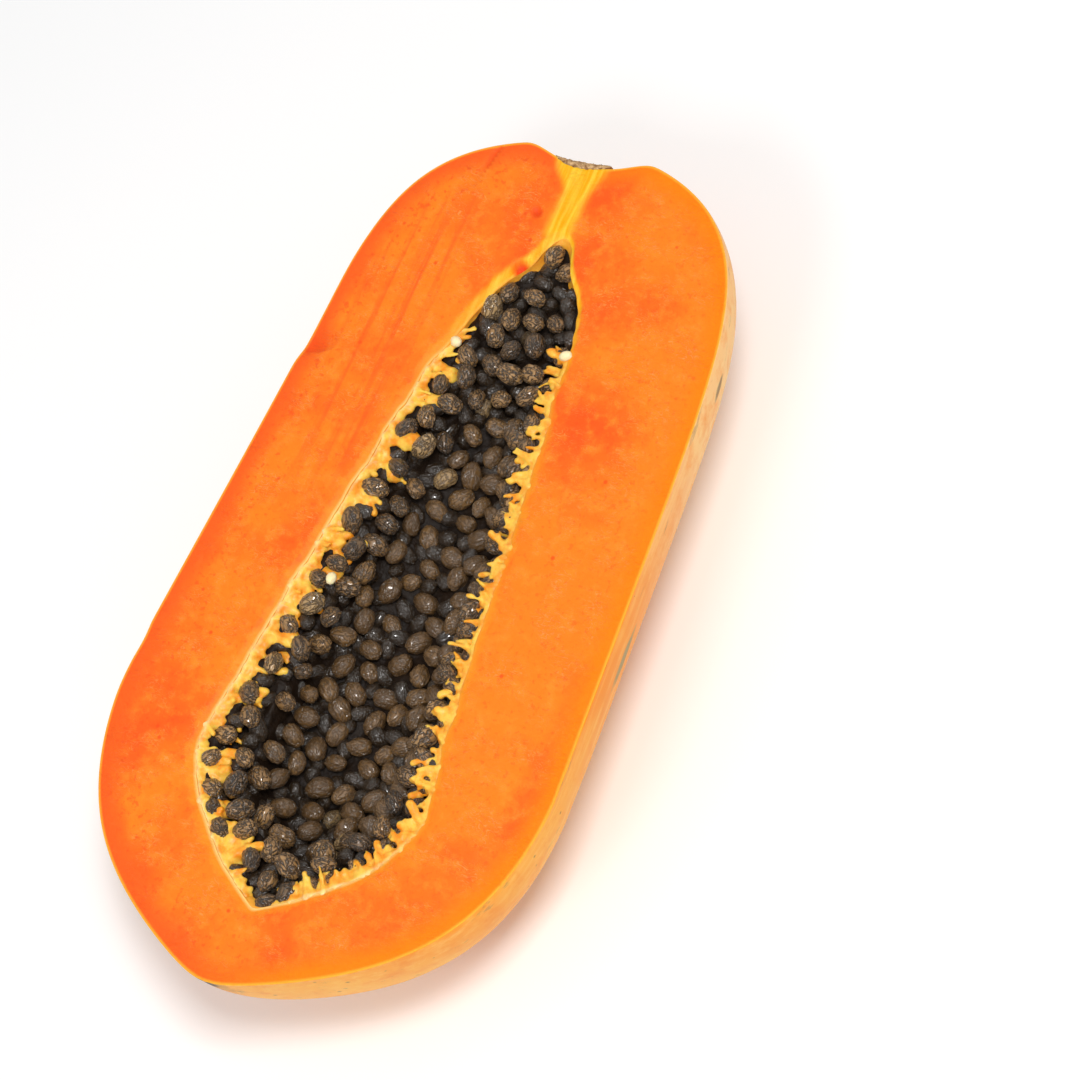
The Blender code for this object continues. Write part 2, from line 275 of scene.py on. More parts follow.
def skin_half_width(y):
    """A blunt stem end, a slow taper to it, and a blossom end drawn out to a point."""
    if y < BELLY_Y:
        u = blossom_share(y, BELLY_Y, BLOSSOM_END_Y)
        return FRUIT_WIDTH / 2 * math.sqrt(1 - u * u) * (1 - BLOSSOM_POINT * u ** 6)
    u = stem_share(y, BELLY_Y, STEM_END_Y)
    return FRUIT_WIDTH / 2 * (1 - STEM_TAPER * u) * math.sqrt(1 - u ** STEM_SQUARENESS)


def cavity_half_width(y):
    """Pointed at both ends, and narrower along the half nearer the stem."""
    if y < CAVITY_BELLY_Y:
        u = blossom_share(y, CAVITY_BELLY_Y, CAVITY_BLOSSOM_Y)
        return CAVITY_WIDTH / 2 * (1 - u * u)
    u = stem_share(y, CAVITY_BELLY_Y, CAVITY_STEM_Y)
    return CAVITY_WIDTH / 2 * (1 - CAVITY_TAPER * u) * math.sqrt(1 - u ** CAVITY_SQUARENESS)


def hollow_half_width(y):
    """The hollow left in the middle of the seeds."""
    middle = (BED_HOLLOW_BLOSSOM_Y + BED_HOLLOW_STEM_Y) / 2
    reach = (BED_HOLLOW_STEM_Y - BED_HOLLOW_BLOSSOM_Y) / 2
    v = min(abs(y - middle) / reach, 1.0)
    return BED_HOLLOW_WIDTH * cavity_half_width(y) * math.sqrt(1 - v ** 4)


def skin_depth_ratio(y):
    """Depth against half width, with a nearly level keel and a blunter blossom end."""
    if y < BELLY_Y:
        u = min(blossom_share(y, BELLY_Y, BLOSSOM_END_Y), 0.999)
        keel = math.sqrt((1 - u ** KEEL_BLUNTNESS) / (1 - u * u)) / (1 - BLOSSOM_POINT * u ** 6)
    else:
        u = stem_share(y, BELLY_Y, STEM_END_Y)
        keel = (1 - KEEL_TAPER * u) / (1 - STEM_TAPER * u)
    crown = 1 - REST_CROWN * ((y - REST_Y) / STEM_END_Y) ** 2
    return HALF_DEPTH / (FRUIT_WIDTH / 2) * keel * crown


def tip_lean(y):
    """Both ends lie a little to one side of the middle line."""
    towards_stem = stem_share(y, BELLY_Y, STEM_END_Y) ** 4
    towards_blossom = blossom_share(y, BELLY_Y, BLOSSOM_END_Y) ** 3
    return TIP_OFFSET * (towards_stem + towards_blossom)


def lobe_swell(angle, depth):
    """Five rounded ridges, level with the plain outline at the cut, and one along the bottom."""
    return 1 - depth * math.sin(LOBES * angle)


def skin_point(y, radius, angle):
    """A point of the skin, from its place along the fruit, its radius and its angle round it."""
    share = stem_share(y, BELLY_Y, STEM_END_Y)
    swell = lobe_swell(angle, LOBE_DEPTH + SHOULDER_LOBE_DEPTH * share ** 6)
    x = radius * swell * math.cos(angle)
    z = radius * swell * math.sin(angle) * skin_depth_ratio(y)
    y += SHOULDER_TILT * x * share ** 6
    return Vector((x + tip_lean(y), y, z))


def cavity_point(y, radius, angle):
    """A point of the cavity's wall."""
    swell = lobe_swell(angle, CAVITY_LOBE_DEPTH)
    x = radius * swell * math.cos(angle)
    z = radius * swell * math.sin(angle) * CAVITY_DEPTH_RATIO + CAVITY_LIFT * abs(math.sin(angle))
    return Vector((x, y, z))


def fine_curve(half_width, start, end):
    """Points (y, radius) of an outline from the stem end to the blossom end."""
    curve = []
    for i in range(PROFILE_FINENESS + 1):
        y = (start + end) / 2 + (end - start) / 2 * math.cos(math.pi * i / PROFILE_FINENESS)
        curve.append(Vector((y, half_width(y))))
    return curve


def dent_drop(radius):
    """How deep the dent round the stalk is, at a distance from its middle."""
    share = min(radius / DENT_SPREAD, 1.0)
    return DENT_DEPTH * (1 - share ** 2.5) ** 2


def skin_curve():
    """The skin's outline, with the dent round the stalk sunk into the stem end."""
    curve = fine_curve(skin_half_width, BLOSSOM_END_Y, STEM_END_Y)
    for point in curve:
        if point.x > 0:
            point.x -= dent_drop(point.y)
    return curve


def edge_notch(y):
    """How far an old scar and a small step pull the left edge of the skin in."""
    scar = rise(y, 39.8, 46.0) * fade(y, 50.0, 76.0)
    step = rise(y, -56.0, -40.5) * fade(y, -40.0, -34.0)
    return NOTCH_DEPTH * scar + STEP_DEPTH * step


def resample(curve, count):
    """Points evenly spaced along a curve."""
    along = [0.0]
    for a, b in zip(curve, curve[1:]):
        along.append(along[-1] + (b - a).length)
    points = []
    step = 0
    for k in range(count + 1):
        wanted = along[-1] * k / count
        while step < len(curve) - 2 and along[step + 1] < wanted:
            step += 1
        share = (wanted - along[step]) / (along[step + 1] - along[step])
        points.append(curve[step].lerp(curve[step + 1], share))
    return points


def stand_shift():
    """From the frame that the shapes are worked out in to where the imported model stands."""
    low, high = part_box("fruit_half")
    rim = [skin_point(p.x, p.y, a) for p in skin_curve() for a in (0.0, -math.pi)]
    middle_x = (min(p.x for p in rim) + max(p.x for p in rim)) / 2
    return Vector(((low.x + high.x) / 2 - middle_x, low.y - min(p.y for p in rim), high.z))


def crowd(share, amount):
    """Move evenly spaced shares from 0 to 1 closer together at both ends."""
    return share - amount * math.sin(2 * math.pi * share) / (2 * math.pi)


def rim_wander(y, side):
    """How far the torn edge of the cavity lies off its even outline, outwards positive."""
    half_width = cavity_half_width(y)
    broad = noise.noise(Vector((y * per_mm(9), side * 7, 0)))
    fine = noise.noise(Vector((y * per_mm(2.2), side * 5, 3)))
    torn = (0.9 * broad + 0.45 * fine) * MM * rise(half_width, 0, 9)
    if side < 0:
        share = rise(y, -78, -52) * fade(y, 44, 66)
        torn += LEFT_WIDENING * share
    else:
        share = rise(y, -70, -25) * fade(y, 50, 75)
        torn -= RIGHT_NARROWING * share
    narrowed = TIP_NARROWING * rise(y, 66, 86)
    return torn - min(narrowed, 0.42 * half_width)


def rim_thickness(y, side):
    """How thick the placenta lies along the cavity's edge, from bare (0) to full (1)."""
    share = 0.45 + 1.2 * noise.noise(Vector((y * per_mm(6), side * 9, 1)))
    return min(max(share, 0.0), 1.0)


def cavity_edge(y, side):
    """Distance of the cavity's torn edge from the middle line."""
    return cavity_half_width(y) + rim_wander(y, side)


def bed_height(x, y):
    """Height of the bed's top, below the cut face: level near the wall, and hollow in the middle."""
    half_width = hollow_half_width(y)
    if abs(x) >= half_width:
        return -BED_DROP
    return min(-BED_DROP, -HOLLOW_DEPTH_RATIO * math.sqrt(half_width ** 2 - x ** 2))


def bed_normal(x, y):
    """The way that the bed faces, from its height a millimetre away on each side."""
    slope_x = (bed_height(x + MM, y) - bed_height(x - MM, y)) / (2 * MM)
    slope_y = (bed_height(x, y + MM) - bed_height(x, y - MM)) / (2 * MM)
    return Vector((-slope_x, -slope_y, 1)).normalized()


def seed_places():
    """Centre, direction and size of each seed, thrown at random and kept where none lies too near."""
    rng = random.Random(SEED_DRAW)
    places = []
    for _ in range(SEED_TRIES):
        y = rng.uniform(CAVITY_BLOSSOM_Y, CAVITY_STEM_Y)
        x = rng.uniform(-0.5, 0.5) * CAVITY_WIDTH
        if abs(x) > cavity_half_width(y) - SEED_WALL_ROOM:
            continue
        spot = Vector((x, y, bed_height(x, y)))
        centre = spot + bed_normal(x, y) * SEED_WIDTH * (0.5 - SEED_SUNK)
        if any((centre - other[0]).length < SEED_SPACING for other in places):
            continue
        heading = rng.uniform(0, 2 * math.pi)
        lean = rng.uniform(-SEED_LEAN, SEED_LEAN)
        along = Vector((math.cos(heading), math.sin(heading), lean)).normalized()
        size = 1 + SEED_SIZE_SPREAD * rng.uniform(-1, 1)
        places.append((centre, along, size))
    return places


def floor_height(x, y):
    """Height that the cavity's floor doesn't rise above, in the hollows between its ridges too."""
    reach = (1 - CAVITY_LOBE_DEPTH) * cavity_half_width(y)
    return CAVITY_LIFT - CAVITY_DEPTH_RATIO * math.sqrt(max(reach ** 2 - x ** 2, 0))


def packed_places(shown, room, depth):
    """Places for the seeds of the layer below, in the gaps between those that show."""
    rng = random.Random(SEED_DRAW + 1)
    places = []
    centres = [p[0] for p in shown]
    for _ in range(SEED_TRIES):
        y = rng.uniform(CAVITY_BLOSSOM_Y + 3 * MM, CAVITY_STEM_Y - 4 * MM)
        x = rng.uniform(-0.5, 0.5) * CAVITY_WIDTH
        if abs(x) > cavity_half_width(y) - SEED_WALL_ROOM:
            continue
        centre = Vector((x, y, bed_height(x, y))) - bed_normal(x, y) * depth
        centre.z = max(centre.z, min(floor_height(x, y) + 2.0 * MM, -4.5 * MM))
        if min((centre - other).length for other in centres) < room:
            continue
        centres.append(centre)
        along = Vector((rng.uniform(-1, 1), rng.uniform(-1, 1), rng.uniform(-1, 1))).normalized()
        places.append((centre, along, 1 + SEED_SIZE_SPREAD * rng.uniform(-1, 1)))
    return places


def even_wall_point(y, side, depth):
    """A point of the cavity's even wall below the cut face, and the way into the cavity."""
    width = cavity_half_width(y)
    x = side * width * math.sqrt(max(0.0, 1 - (depth / (CAVITY_DEPTH_RATIO * width)) ** 2))
    slope = (cavity_half_width(y + MM) - cavity_half_width(y - MM)) / (2 * MM)
    return Vector((x, y, -depth)), Vector((-side, slope, 0)).normalized()


def thread_places():
    """Root, direction, length and radius of each main thread, along both edges of the cavity."""
    rng = random.Random(THREAD_DRAW)
    places = []
    for i in range(THREAD_COUNT):
        share = (i // 2 + rng.random()) / (THREAD_COUNT // 2)
        y = THREADS_BLOSSOM_Y + (THREADS_STEM_Y - THREADS_BLOSSOM_Y) * share
        root, inward = even_wall_point(y, 1 if i % 2 else -1, rng.uniform(*THREAD_DEPTH))
        along = Vector((0, 1, 0)) * rng.uniform(-THREAD_SPREAD, THREAD_SPREAD)
        down = Vector((0, 0, -1)) * rng.uniform(*THREAD_DROOP)
        direction = (inward + along + down).normalized()
        places.append((root, direction, rng.uniform(*THREAD_LENGTH), rng.uniform(*THREAD_RADIUS)))
    return places


SHIFT = stand_shift()


def to_piece(name, mesh, materials, replaced):
    """Turn a bmesh in the fruit's frame into a piece of the object, standing where the solids do."""
    bmesh.ops.translate(mesh, verts=mesh.verts[:], vec=SHIFT)
    data = bpy.data.meshes.new(name)
    mesh.to_mesh(data)
    mesh.free()
    data.shade_smooth()
    made = bpy.data.objects.new(name, data)
    bpy.context.scene.collection.objects.link(made)
    for one in materials:
        data.materials.append(one)
    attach(made, "root")
    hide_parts(*replaced)
    return made


def half_spindle(mesh, points, sides, place, side_layer):
    """The lower half of a body round the Y axis, open at the cut, shaped from a sphere."""
    made = bmesh.ops.create_uvsphere(
        mesh, u_segments=2 * sides, v_segments=len(points) - 1, radius=1.0)
    keep = []
    upper = []
    for vert in made["verts"]:
        ring = round(math.acos(max(-1.0, min(1.0, vert.co.z))) / math.pi * (len(points) - 1))
        y, radius = points[ring]
        angle = math.atan2(-vert.co.y, vert.co.x)
        if 1e-6 < angle < math.pi - 1e-6:
            upper.append(vert)
            continue
        share = crowd(abs(angle) / math.pi, RIM_CROWDING)
        vert.co = place(y, radius, -math.pi * share)
        vert[side_layer] = 0.0 if ring in (0, len(points) - 1) else 1 - 2 * share
        keep.append(vert)
    bmesh.ops.delete(mesh, geom=upper, context="VERTS")
    return keep


def open_edges(verts, side_layer, side):
    """The open edges on one side of the long axis."""
    found = {e for v in verts for e in v.link_edges if e.is_boundary}
    return {e for e in found if sum(v[side_layer] for v in e.verts) * side > 0}


def verts_of_material(mesh, index):
    """The vertices of the faces that have one of the piece's materials."""
    return {v for f in mesh.faces if f.material_index == index for v in f.verts}


def cut_face(mesh, skin, cavity, layers):
    """Join the rims of the skin and the cavity with a flat ring of faces, in fine rows."""
    made = []
    outer_verts = set()
    inner_verts = set()
    for side in (-1, 1):
        outer = open_edges(skin, layers["side"], side)
        inner = open_edges(cavity, layers["side"], side)
        outer_verts |= {v for e in outer for v in e.verts}
        inner_verts |= {v for e in inner for v in e.verts}
        made += bmesh.ops.bridge_loops(mesh, edges=list(outer | inner))["faces"]
    radial = []
    for edge in {e for f in made for e in f.edges}:
        a, b = edge.verts
        if (a in outer_verts) == (b in outer_verts):
            continue
        near, far = (a, b) if a in inner_verts else (b, a)
        radial.append(edge)
        for vert in (near, far):
            vert[layers["near"]] = near.co
            vert[layers["far"]] = far.co
        far[layers["row"]] = 1.0
    for face in made:
        face.material_index = 1
    bmesh.ops.subdivide_edges(mesh, edges=radial, cuts=FACE_ROWS - 1, use_grid_fill=True)
    skin, face, cavity = (verts_of_material(mesh, i) for i in range(3))
    rows = face - skin - cavity
    for vert in rows:
        share = crowd(vert[layers["row"]], ROW_CROWDING)
        vert.co = vert[layers["near"]].lerp(vert[layers["far"]], share)
    return skin, rows, cavity


def knife_zone(x, y):
    """Where the knife dragged on the flesh, on the side away from the skin that shows."""
    across = fade(abs(x + 36 * MM), 5, 15)
    return across * rise(y, 0, 30) * fade(y, 88, 104)


def stalk_fibres(x, y, from_cavity):
    """Where the yellow fibres run, from the stalk down both sides of the cavity's tip."""
    flare = rise(y, 103, 113)
    middle = (-2.4 - 2.0 * flare) * MM
    half = (4.0 + 3.8 * flare) * MM
    off = abs(x - middle + 0.5 * MM * noise.noise(Vector((y * per_mm(4), 0, 5))))
    funnel = (1 - smooth_step(off, half - 2.4 * MM, half + 1.0 * MM)) * rise(y, 88, 93)
    side_width = (4.2 if x < 0 else 2.2) * MM
    beside = 1 - smooth_step(from_cavity, 0.45 * side_width, side_width)
    return max(funnel, beside * rise(y, 46, 84))


def torn_share(x, y):
    """How pale and torn the cavity's edge is: all along the left and round the blossom end."""
    if x < 0:
        return 1 - 0.8 * rise(y, 40, 70)
    return 1 - 0.9 * rise(y, -80, -58)


def crease_share(x, y, from_skin):
    """Where the flesh is sunk and painted darker red as shade, above an old crease that starts at the
    left edge.
    """
    curl = 120 * max(0.0, x + 50 * MM) ** 2
    above = y - 44.5 * MM - 0.25 * (x + 52 * MM) - curl
    share = rise(above, -0.7, 0.3) * fade(above, 1.0, 10.0)
    return share * fade(from_skin, 4, 12) if x < 0 else 0.0


def shape_cut_face(rows, layers, relief):
    """Give the cut face its slight waves, knife marks, scar and torn inner edge."""
    for vert in rows:
        near = vert[layers["near"]]
        far = vert[layers["far"]]
        from_cavity = (vert.co - near).length
        from_skin = (vert.co - far).length
        x, y, _ = vert.co
        waves = noise.noise(vert.co * per_mm(24)) + 0.4 * noise.noise(vert.co * per_mm(6))
        knife = noise.noise(Vector((x * per_mm(1.6), y * per_mm(26), 0))) * knife_zone(x, y)
        edge = rise(from_skin, 0, 3)
        vert.co.z += (waves * relief + 0.10 * MM * knife) * edge
        vert.co.z -= EDGE_DIP * fade(from_cavity, 0, 3.2)
        dark = 0.0
        for centre, depth, slope, ring in PITS:
            off = (vert.co.xy - centre).length
            vert.co.z -= depth * fade(off, *slope)
            dark = max(dark, fade(off, *ring))
        scar = crease_share(x, y, from_skin)
        vert.co.z -= CREASE_DIP * scar
        vert[layers["from_cavity"]] = from_cavity / MM
        vert[layers["from_skin"]] = from_skin / MM
        vert[layers["fibre"]] = stalk_fibres(x, y, from_cavity)
        vert[layers["knife"]] = knife_zone(x, y)
        vert[layers["torn"]] = torn_share(x, y)
        # Painted shade: the rings in and round the pits and the sunk flesh above the crease are painted
        # darker red.
        vert[layers["pit_and_crease_shade"]] = max(dark, 0.7 * scar)


def tear_cavity_edge(verts):
    """Move the cavity's wall and rim off their even outline."""
    for vert in verts:
        side = 1 if vert.co.x > 0 else -1
        half_width = max(cavity_half_width(vert.co.y), 0.1 * MM)
        vert.co.x *= 1 + rim_wander(vert.co.y, side) / half_width


def scar_skin(verts):
    """Pull the skin in at its old scar and its small step, most at the cut and less below it."""
    for vert in verts:
        if vert.co.x < 0:
            share = fade(-vert.co.z, 0, 26)
            vert.co.x += edge_notch(vert.co.y + 0.25 * vert.co.z) * share


def smooth(mesh, verts, rounds):
    """Even out vertices with their neighbours."""
    for _ in range(rounds):
        bmesh.ops.smooth_vert(mesh, verts=verts, factor=0.5,
                              use_axis_x=True, use_axis_y=True, use_axis_z=True)


def build_fruit(relief):
    """The skin, the wall of the cavity and the cut face that joins them, in one closed mesh."""
    mesh = bmesh.new()
    layers = {name: mesh.verts.layers.float.new(name) for name in ("side", "row", *FACE_LAYERS)}
    for name in ("near", "far"):
        layers[name] = mesh.verts.layers.float_vector.new(name)
    skin = half_spindle(mesh, resample(skin_curve(), RINGS), SKIN_SIDES, skin_point, layers["side"])
    cavity_curve = fine_curve(cavity_half_width, CAVITY_BLOSSOM_Y, CAVITY_STEM_Y)
    cavity = half_spindle(mesh, resample(cavity_curve, RINGS), CAVITY_SIDES, cavity_point,
                          layers["side"])
    for face in {f for v in cavity for f in v.link_faces}:
        face.material_index = 2
    scar_skin(skin)
    tear_cavity_edge(cavity)
    skin, rows, cavity = cut_face(mesh, skin, cavity, layers)
    for vert in skin:
        vert[layers["from_cavity"]] = FAR_FROM_CAVITY
    for vert in cavity:
        vert.co.z -= EDGE_DIP * rise(vert.co.z, -2, 0)
    shape_cut_face(rows, layers, relief)
    for vert in skin:
        if vert.co.z < -1.0 * MM:
            vert.co *= 1 + 0.004 * noise.noise(vert.co * per_mm(30))
    rim = [v for v in skin if v.co.z > -1.2 * MM]
    rim += [v for v in rows if v[layers["from_skin"]] < 1.0]
    lip = [v for v in cavity if v.co.z > -2.4 * MM]
    lip += [v for v in rows if v[layers["from_cavity"]] < 2.2]
    smooth(mesh, rim, RIM_ROUNDS)
    smooth(mesh, lip, LIP_ROUNDS)
    bmesh.ops.recalc_face_normals(mesh, faces=mesh.faces[:])
    for vert in skin:
        vert.co.z = max(vert.co.z, -SHIFT.z)
    for name in ("near", "far"):
        mesh.verts.layers.float_vector.remove(mesh.verts.layers.float_vector[name])
    return mesh


def ripe_flesh(colour):
    """Ripe papaya flesh, cut with a knife: moist, deep orange, and soft enough to let light in."""
    made, tree, shader = new_material("ripe_papaya_flesh_cut", {
        "Roughness": 0.46, "IOR": 1.38, "Subsurface Weight": 0.30, "Subsurface Scale": 0.003,
        "Subsurface Radius": (1.0, 0.40, 0.12), "Specular IOR Level": 0.28})
    place = object_place(tree)
    from_skin, from_cavity, fibre, knife, torn, pit_and_crease_shade = [
        add_node(tree, "ShaderNodeAttribute", attribute_name=name).outputs["Fac"] for name in FACE_LAYERS]
    across = add_node(tree, "ShaderNodeSeparateXYZ", {0: place})
    right_side = add_node(tree, "ShaderNodeMapRange", {0: across, 1: -0.012, 2: 0.018})

    # Riper patches, and the small mottling inside them.
    broad = add_node(tree, "ShaderNodeTexNoise", {
        "Vector": place, "Scale": per_mm(34), "Detail": 4.0, "Roughness": 0.55})
    patch = add_node(tree, "ShaderNodeMapRange", {0: broad, 1: 0.44, 2: 0.66})
    small = add_node(tree, "ShaderNodeTexNoise", {
        "Vector": place, "Scale": per_mm(4.5), "Detail": 6.0, "Roughness": 0.65})
    mottle = add_node(tree, "ShaderNodeMapRange", {0: small, 1: 0.48, 2: 0.68, 4: 0.6})

    # Fine pale veins: thin lines along which a stretched noise is at its middle value.
    hair_place = add_node(tree, "ShaderNodeMapping", {
        "Vector": place, "Rotation": (0, 0, 0.5), "Scale": (per_mm(3.2), per_mm(1.3), per_mm(3))})
    hair = add_node(tree, "ShaderNodeTexNoise", {
        "Vector": hair_place, "Scale": 1.0, "Detail": 1.0, "Distortion": 1.6})
    hair_off = add_node(tree, "ShaderNodeMath", {0: hair, 1: 0.5}, operation="SUBTRACT")
    hair_gap = add_node(tree, "ShaderNodeMath", {0: hair_off}, operation="ABSOLUTE")
    hair_line = add_node(tree, "ShaderNodeMapRange", {0: hair_gap, 1: 0.032, 2: 0.0})
    hair_patch = add_node(tree, "ShaderNodeTexNoise", {
        "Vector": place, "Scale": per_mm(9), "Detail": 2.0})
    hair_here = add_node(tree, "ShaderNodeMapRange", {0: hair_patch, 1: 0.44, 2: 0.62, 4: 0.8})
    hairs = add_node(tree, "ShaderNodeMath", {0: hair_line, 1: hair_here}, operation="MULTIPLY")

    # Red flecks, and the streaks that the knife dragged.
    fleck = add_node(tree, "ShaderNodeTexVoronoi", {"Vector": place, "Scale": per_mm(8)})
    flecks = add_node(tree, "ShaderNodeMapRange", {0: fleck, 1: 0.09, 2: 0.04, 4: 0.7})
    streak_place = add_node(tree, "ShaderNodeMapping", {
        "Vector": place, "Rotation": (0, 0, -0.06), "Scale": (per_mm(2.4), per_mm(60), per_mm(20))})
    streak = add_node(tree, "ShaderNodeTexNoise", {"Vector": streak_place, "Scale": 1.0, "Detail": 4.0})
    drag = add_node(tree, "ShaderNodeMapRange", {0: streak, 1: 0.48, 2: 0.72, 4: 0.85})
    dragged = add_node(tree, "ShaderNodeMath", {0: drag, 1: knife}, operation="MULTIPLY")

    # Redder flesh towards the skin, by a reach that wanders, and a fine red dust on it.
    blush_reach = add_node(tree, "ShaderNodeMath", {0: broad, 1: 34.0, 2: -10.0},
                           operation="MULTIPLY_ADD")
    blush_left = add_node(tree, "ShaderNodeMath", {0: blush_reach, 1: from_skin},
                          operation="SUBTRACT")
    blush_most = add_node(tree, "ShaderNodeMapRange", {0: right_side, 3: 0.7, 4: 0.2})
    blush_band = add_node(tree, "ShaderNodeMapRange", {0: blush_left, 1: -2.0, 2: 9.0, 4: blush_most})
    dust = add_node(tree, "ShaderNodeTexNoise", {
        "Vector": place, "Scale": per_mm(1.5), "Detail": 3.0, "Roughness": 0.6})
    dust_here = add_node(tree, "ShaderNodeMapRange", {0: dust, 1: 0.56, 2: 0.68})
    dust_most = add_node(tree, "ShaderNodeMapRange", {0: right_side, 3: 0.8, 4: 0.35})
    dust_band = add_node(tree, "ShaderNodeMapRange", {
        0: from_skin, 1: 16.0, 2: 3.0, 3: 0.35, 4: dust_most})
    dusting = add_node(tree, "ShaderNodeMath", {0: dust_here, 1: dust_band}, operation="MULTIPLY")

    # The rim beside the skin, and the cut edge of the skin itself.
    near_skin = add_node(tree, "ShaderNodeMapRange", {0: from_skin, 1: 7.0, 2: 2.0})
    rim_colour = add_node(tree, "ShaderNodeMix", {0: right_side, 6: "#F4611A", 7: "#FB8204"},
                          data_type="RGBA")
    at_skin = add_node(tree, "ShaderNodeMapRange", {0: from_skin, 1: 0.9, 2: 0.25})

    # The yellow fibres round the cavity, and its pale torn edge.
    ripe_reach = add_node(tree, "ShaderNodeMapRange", {0: small, 1: 0.3, 2: 0.7, 3: 1.6, 4: 4.6})
    near_cavity = add_node(tree, "ShaderNodeMapRange", {0: from_cavity, 1: ripe_reach, 2: 0.4, 4: 0.9})
    fibre_place = add_node(tree, "ShaderNodeMapping", {
        "Vector": place, "Scale": (per_mm(1.1), per_mm(16), per_mm(20))})
    strands = add_node(tree, "ShaderNodeTexNoise", {"Vector": fibre_place, "Scale": 1.0, "Detail": 4.0})
    lifted = add_node(tree, "ShaderNodeMapRange", {0: strands, 1: 0.38, 2: 0.70})
    strand_colour = add_node(tree, "ShaderNodeMix", {0: lifted, 6: "#FCAC04", 7: "#FFD040"},
                             data_type="RGBA")
    at_cavity = add_node(tree, "ShaderNodeMapRange", {0: from_cavity, 1: 1.1, 2: 0.2, 4: 0.85})
    torn_edge = add_node(tree, "ShaderNodeMath", {0: at_cavity, 1: torn}, operation="MULTIPLY")

    grain = add_node(tree, "ShaderNodeTexNoise", {
        "Vector": place, "Scale": per_mm(1.3), "Detail": 5.0, "Roughness": 0.6})
    relief = add_node(tree, "ShaderNodeMath", {0: hairs, 1: 0.5, 2: grain}, operation="MULTIPLY_ADD")
    # The last coat is painted shade: darker red in the pits and above the crease.
    coats = ((patch, "#FA5B16"), (mottle, "#FF952C"), (hairs, "#FF9C50"), (flecks, "#EE430F"),
             (dragged, "#F8591A"), (blush_band, "#FB5F1B"), (dusting, "#F04E14"),
             (near_skin, rim_colour.outputs[2]), (at_skin, "#FFAA30"), (near_cavity, "#FF9A1E"),
             (fibre, strand_colour.outputs[2]), (torn_edge, "#FFD486"), (pit_and_crease_shade, "#EA4A10"))
    finish_material(tree, shader, colour, coats, relief, 0.7, 0.30)
    return made


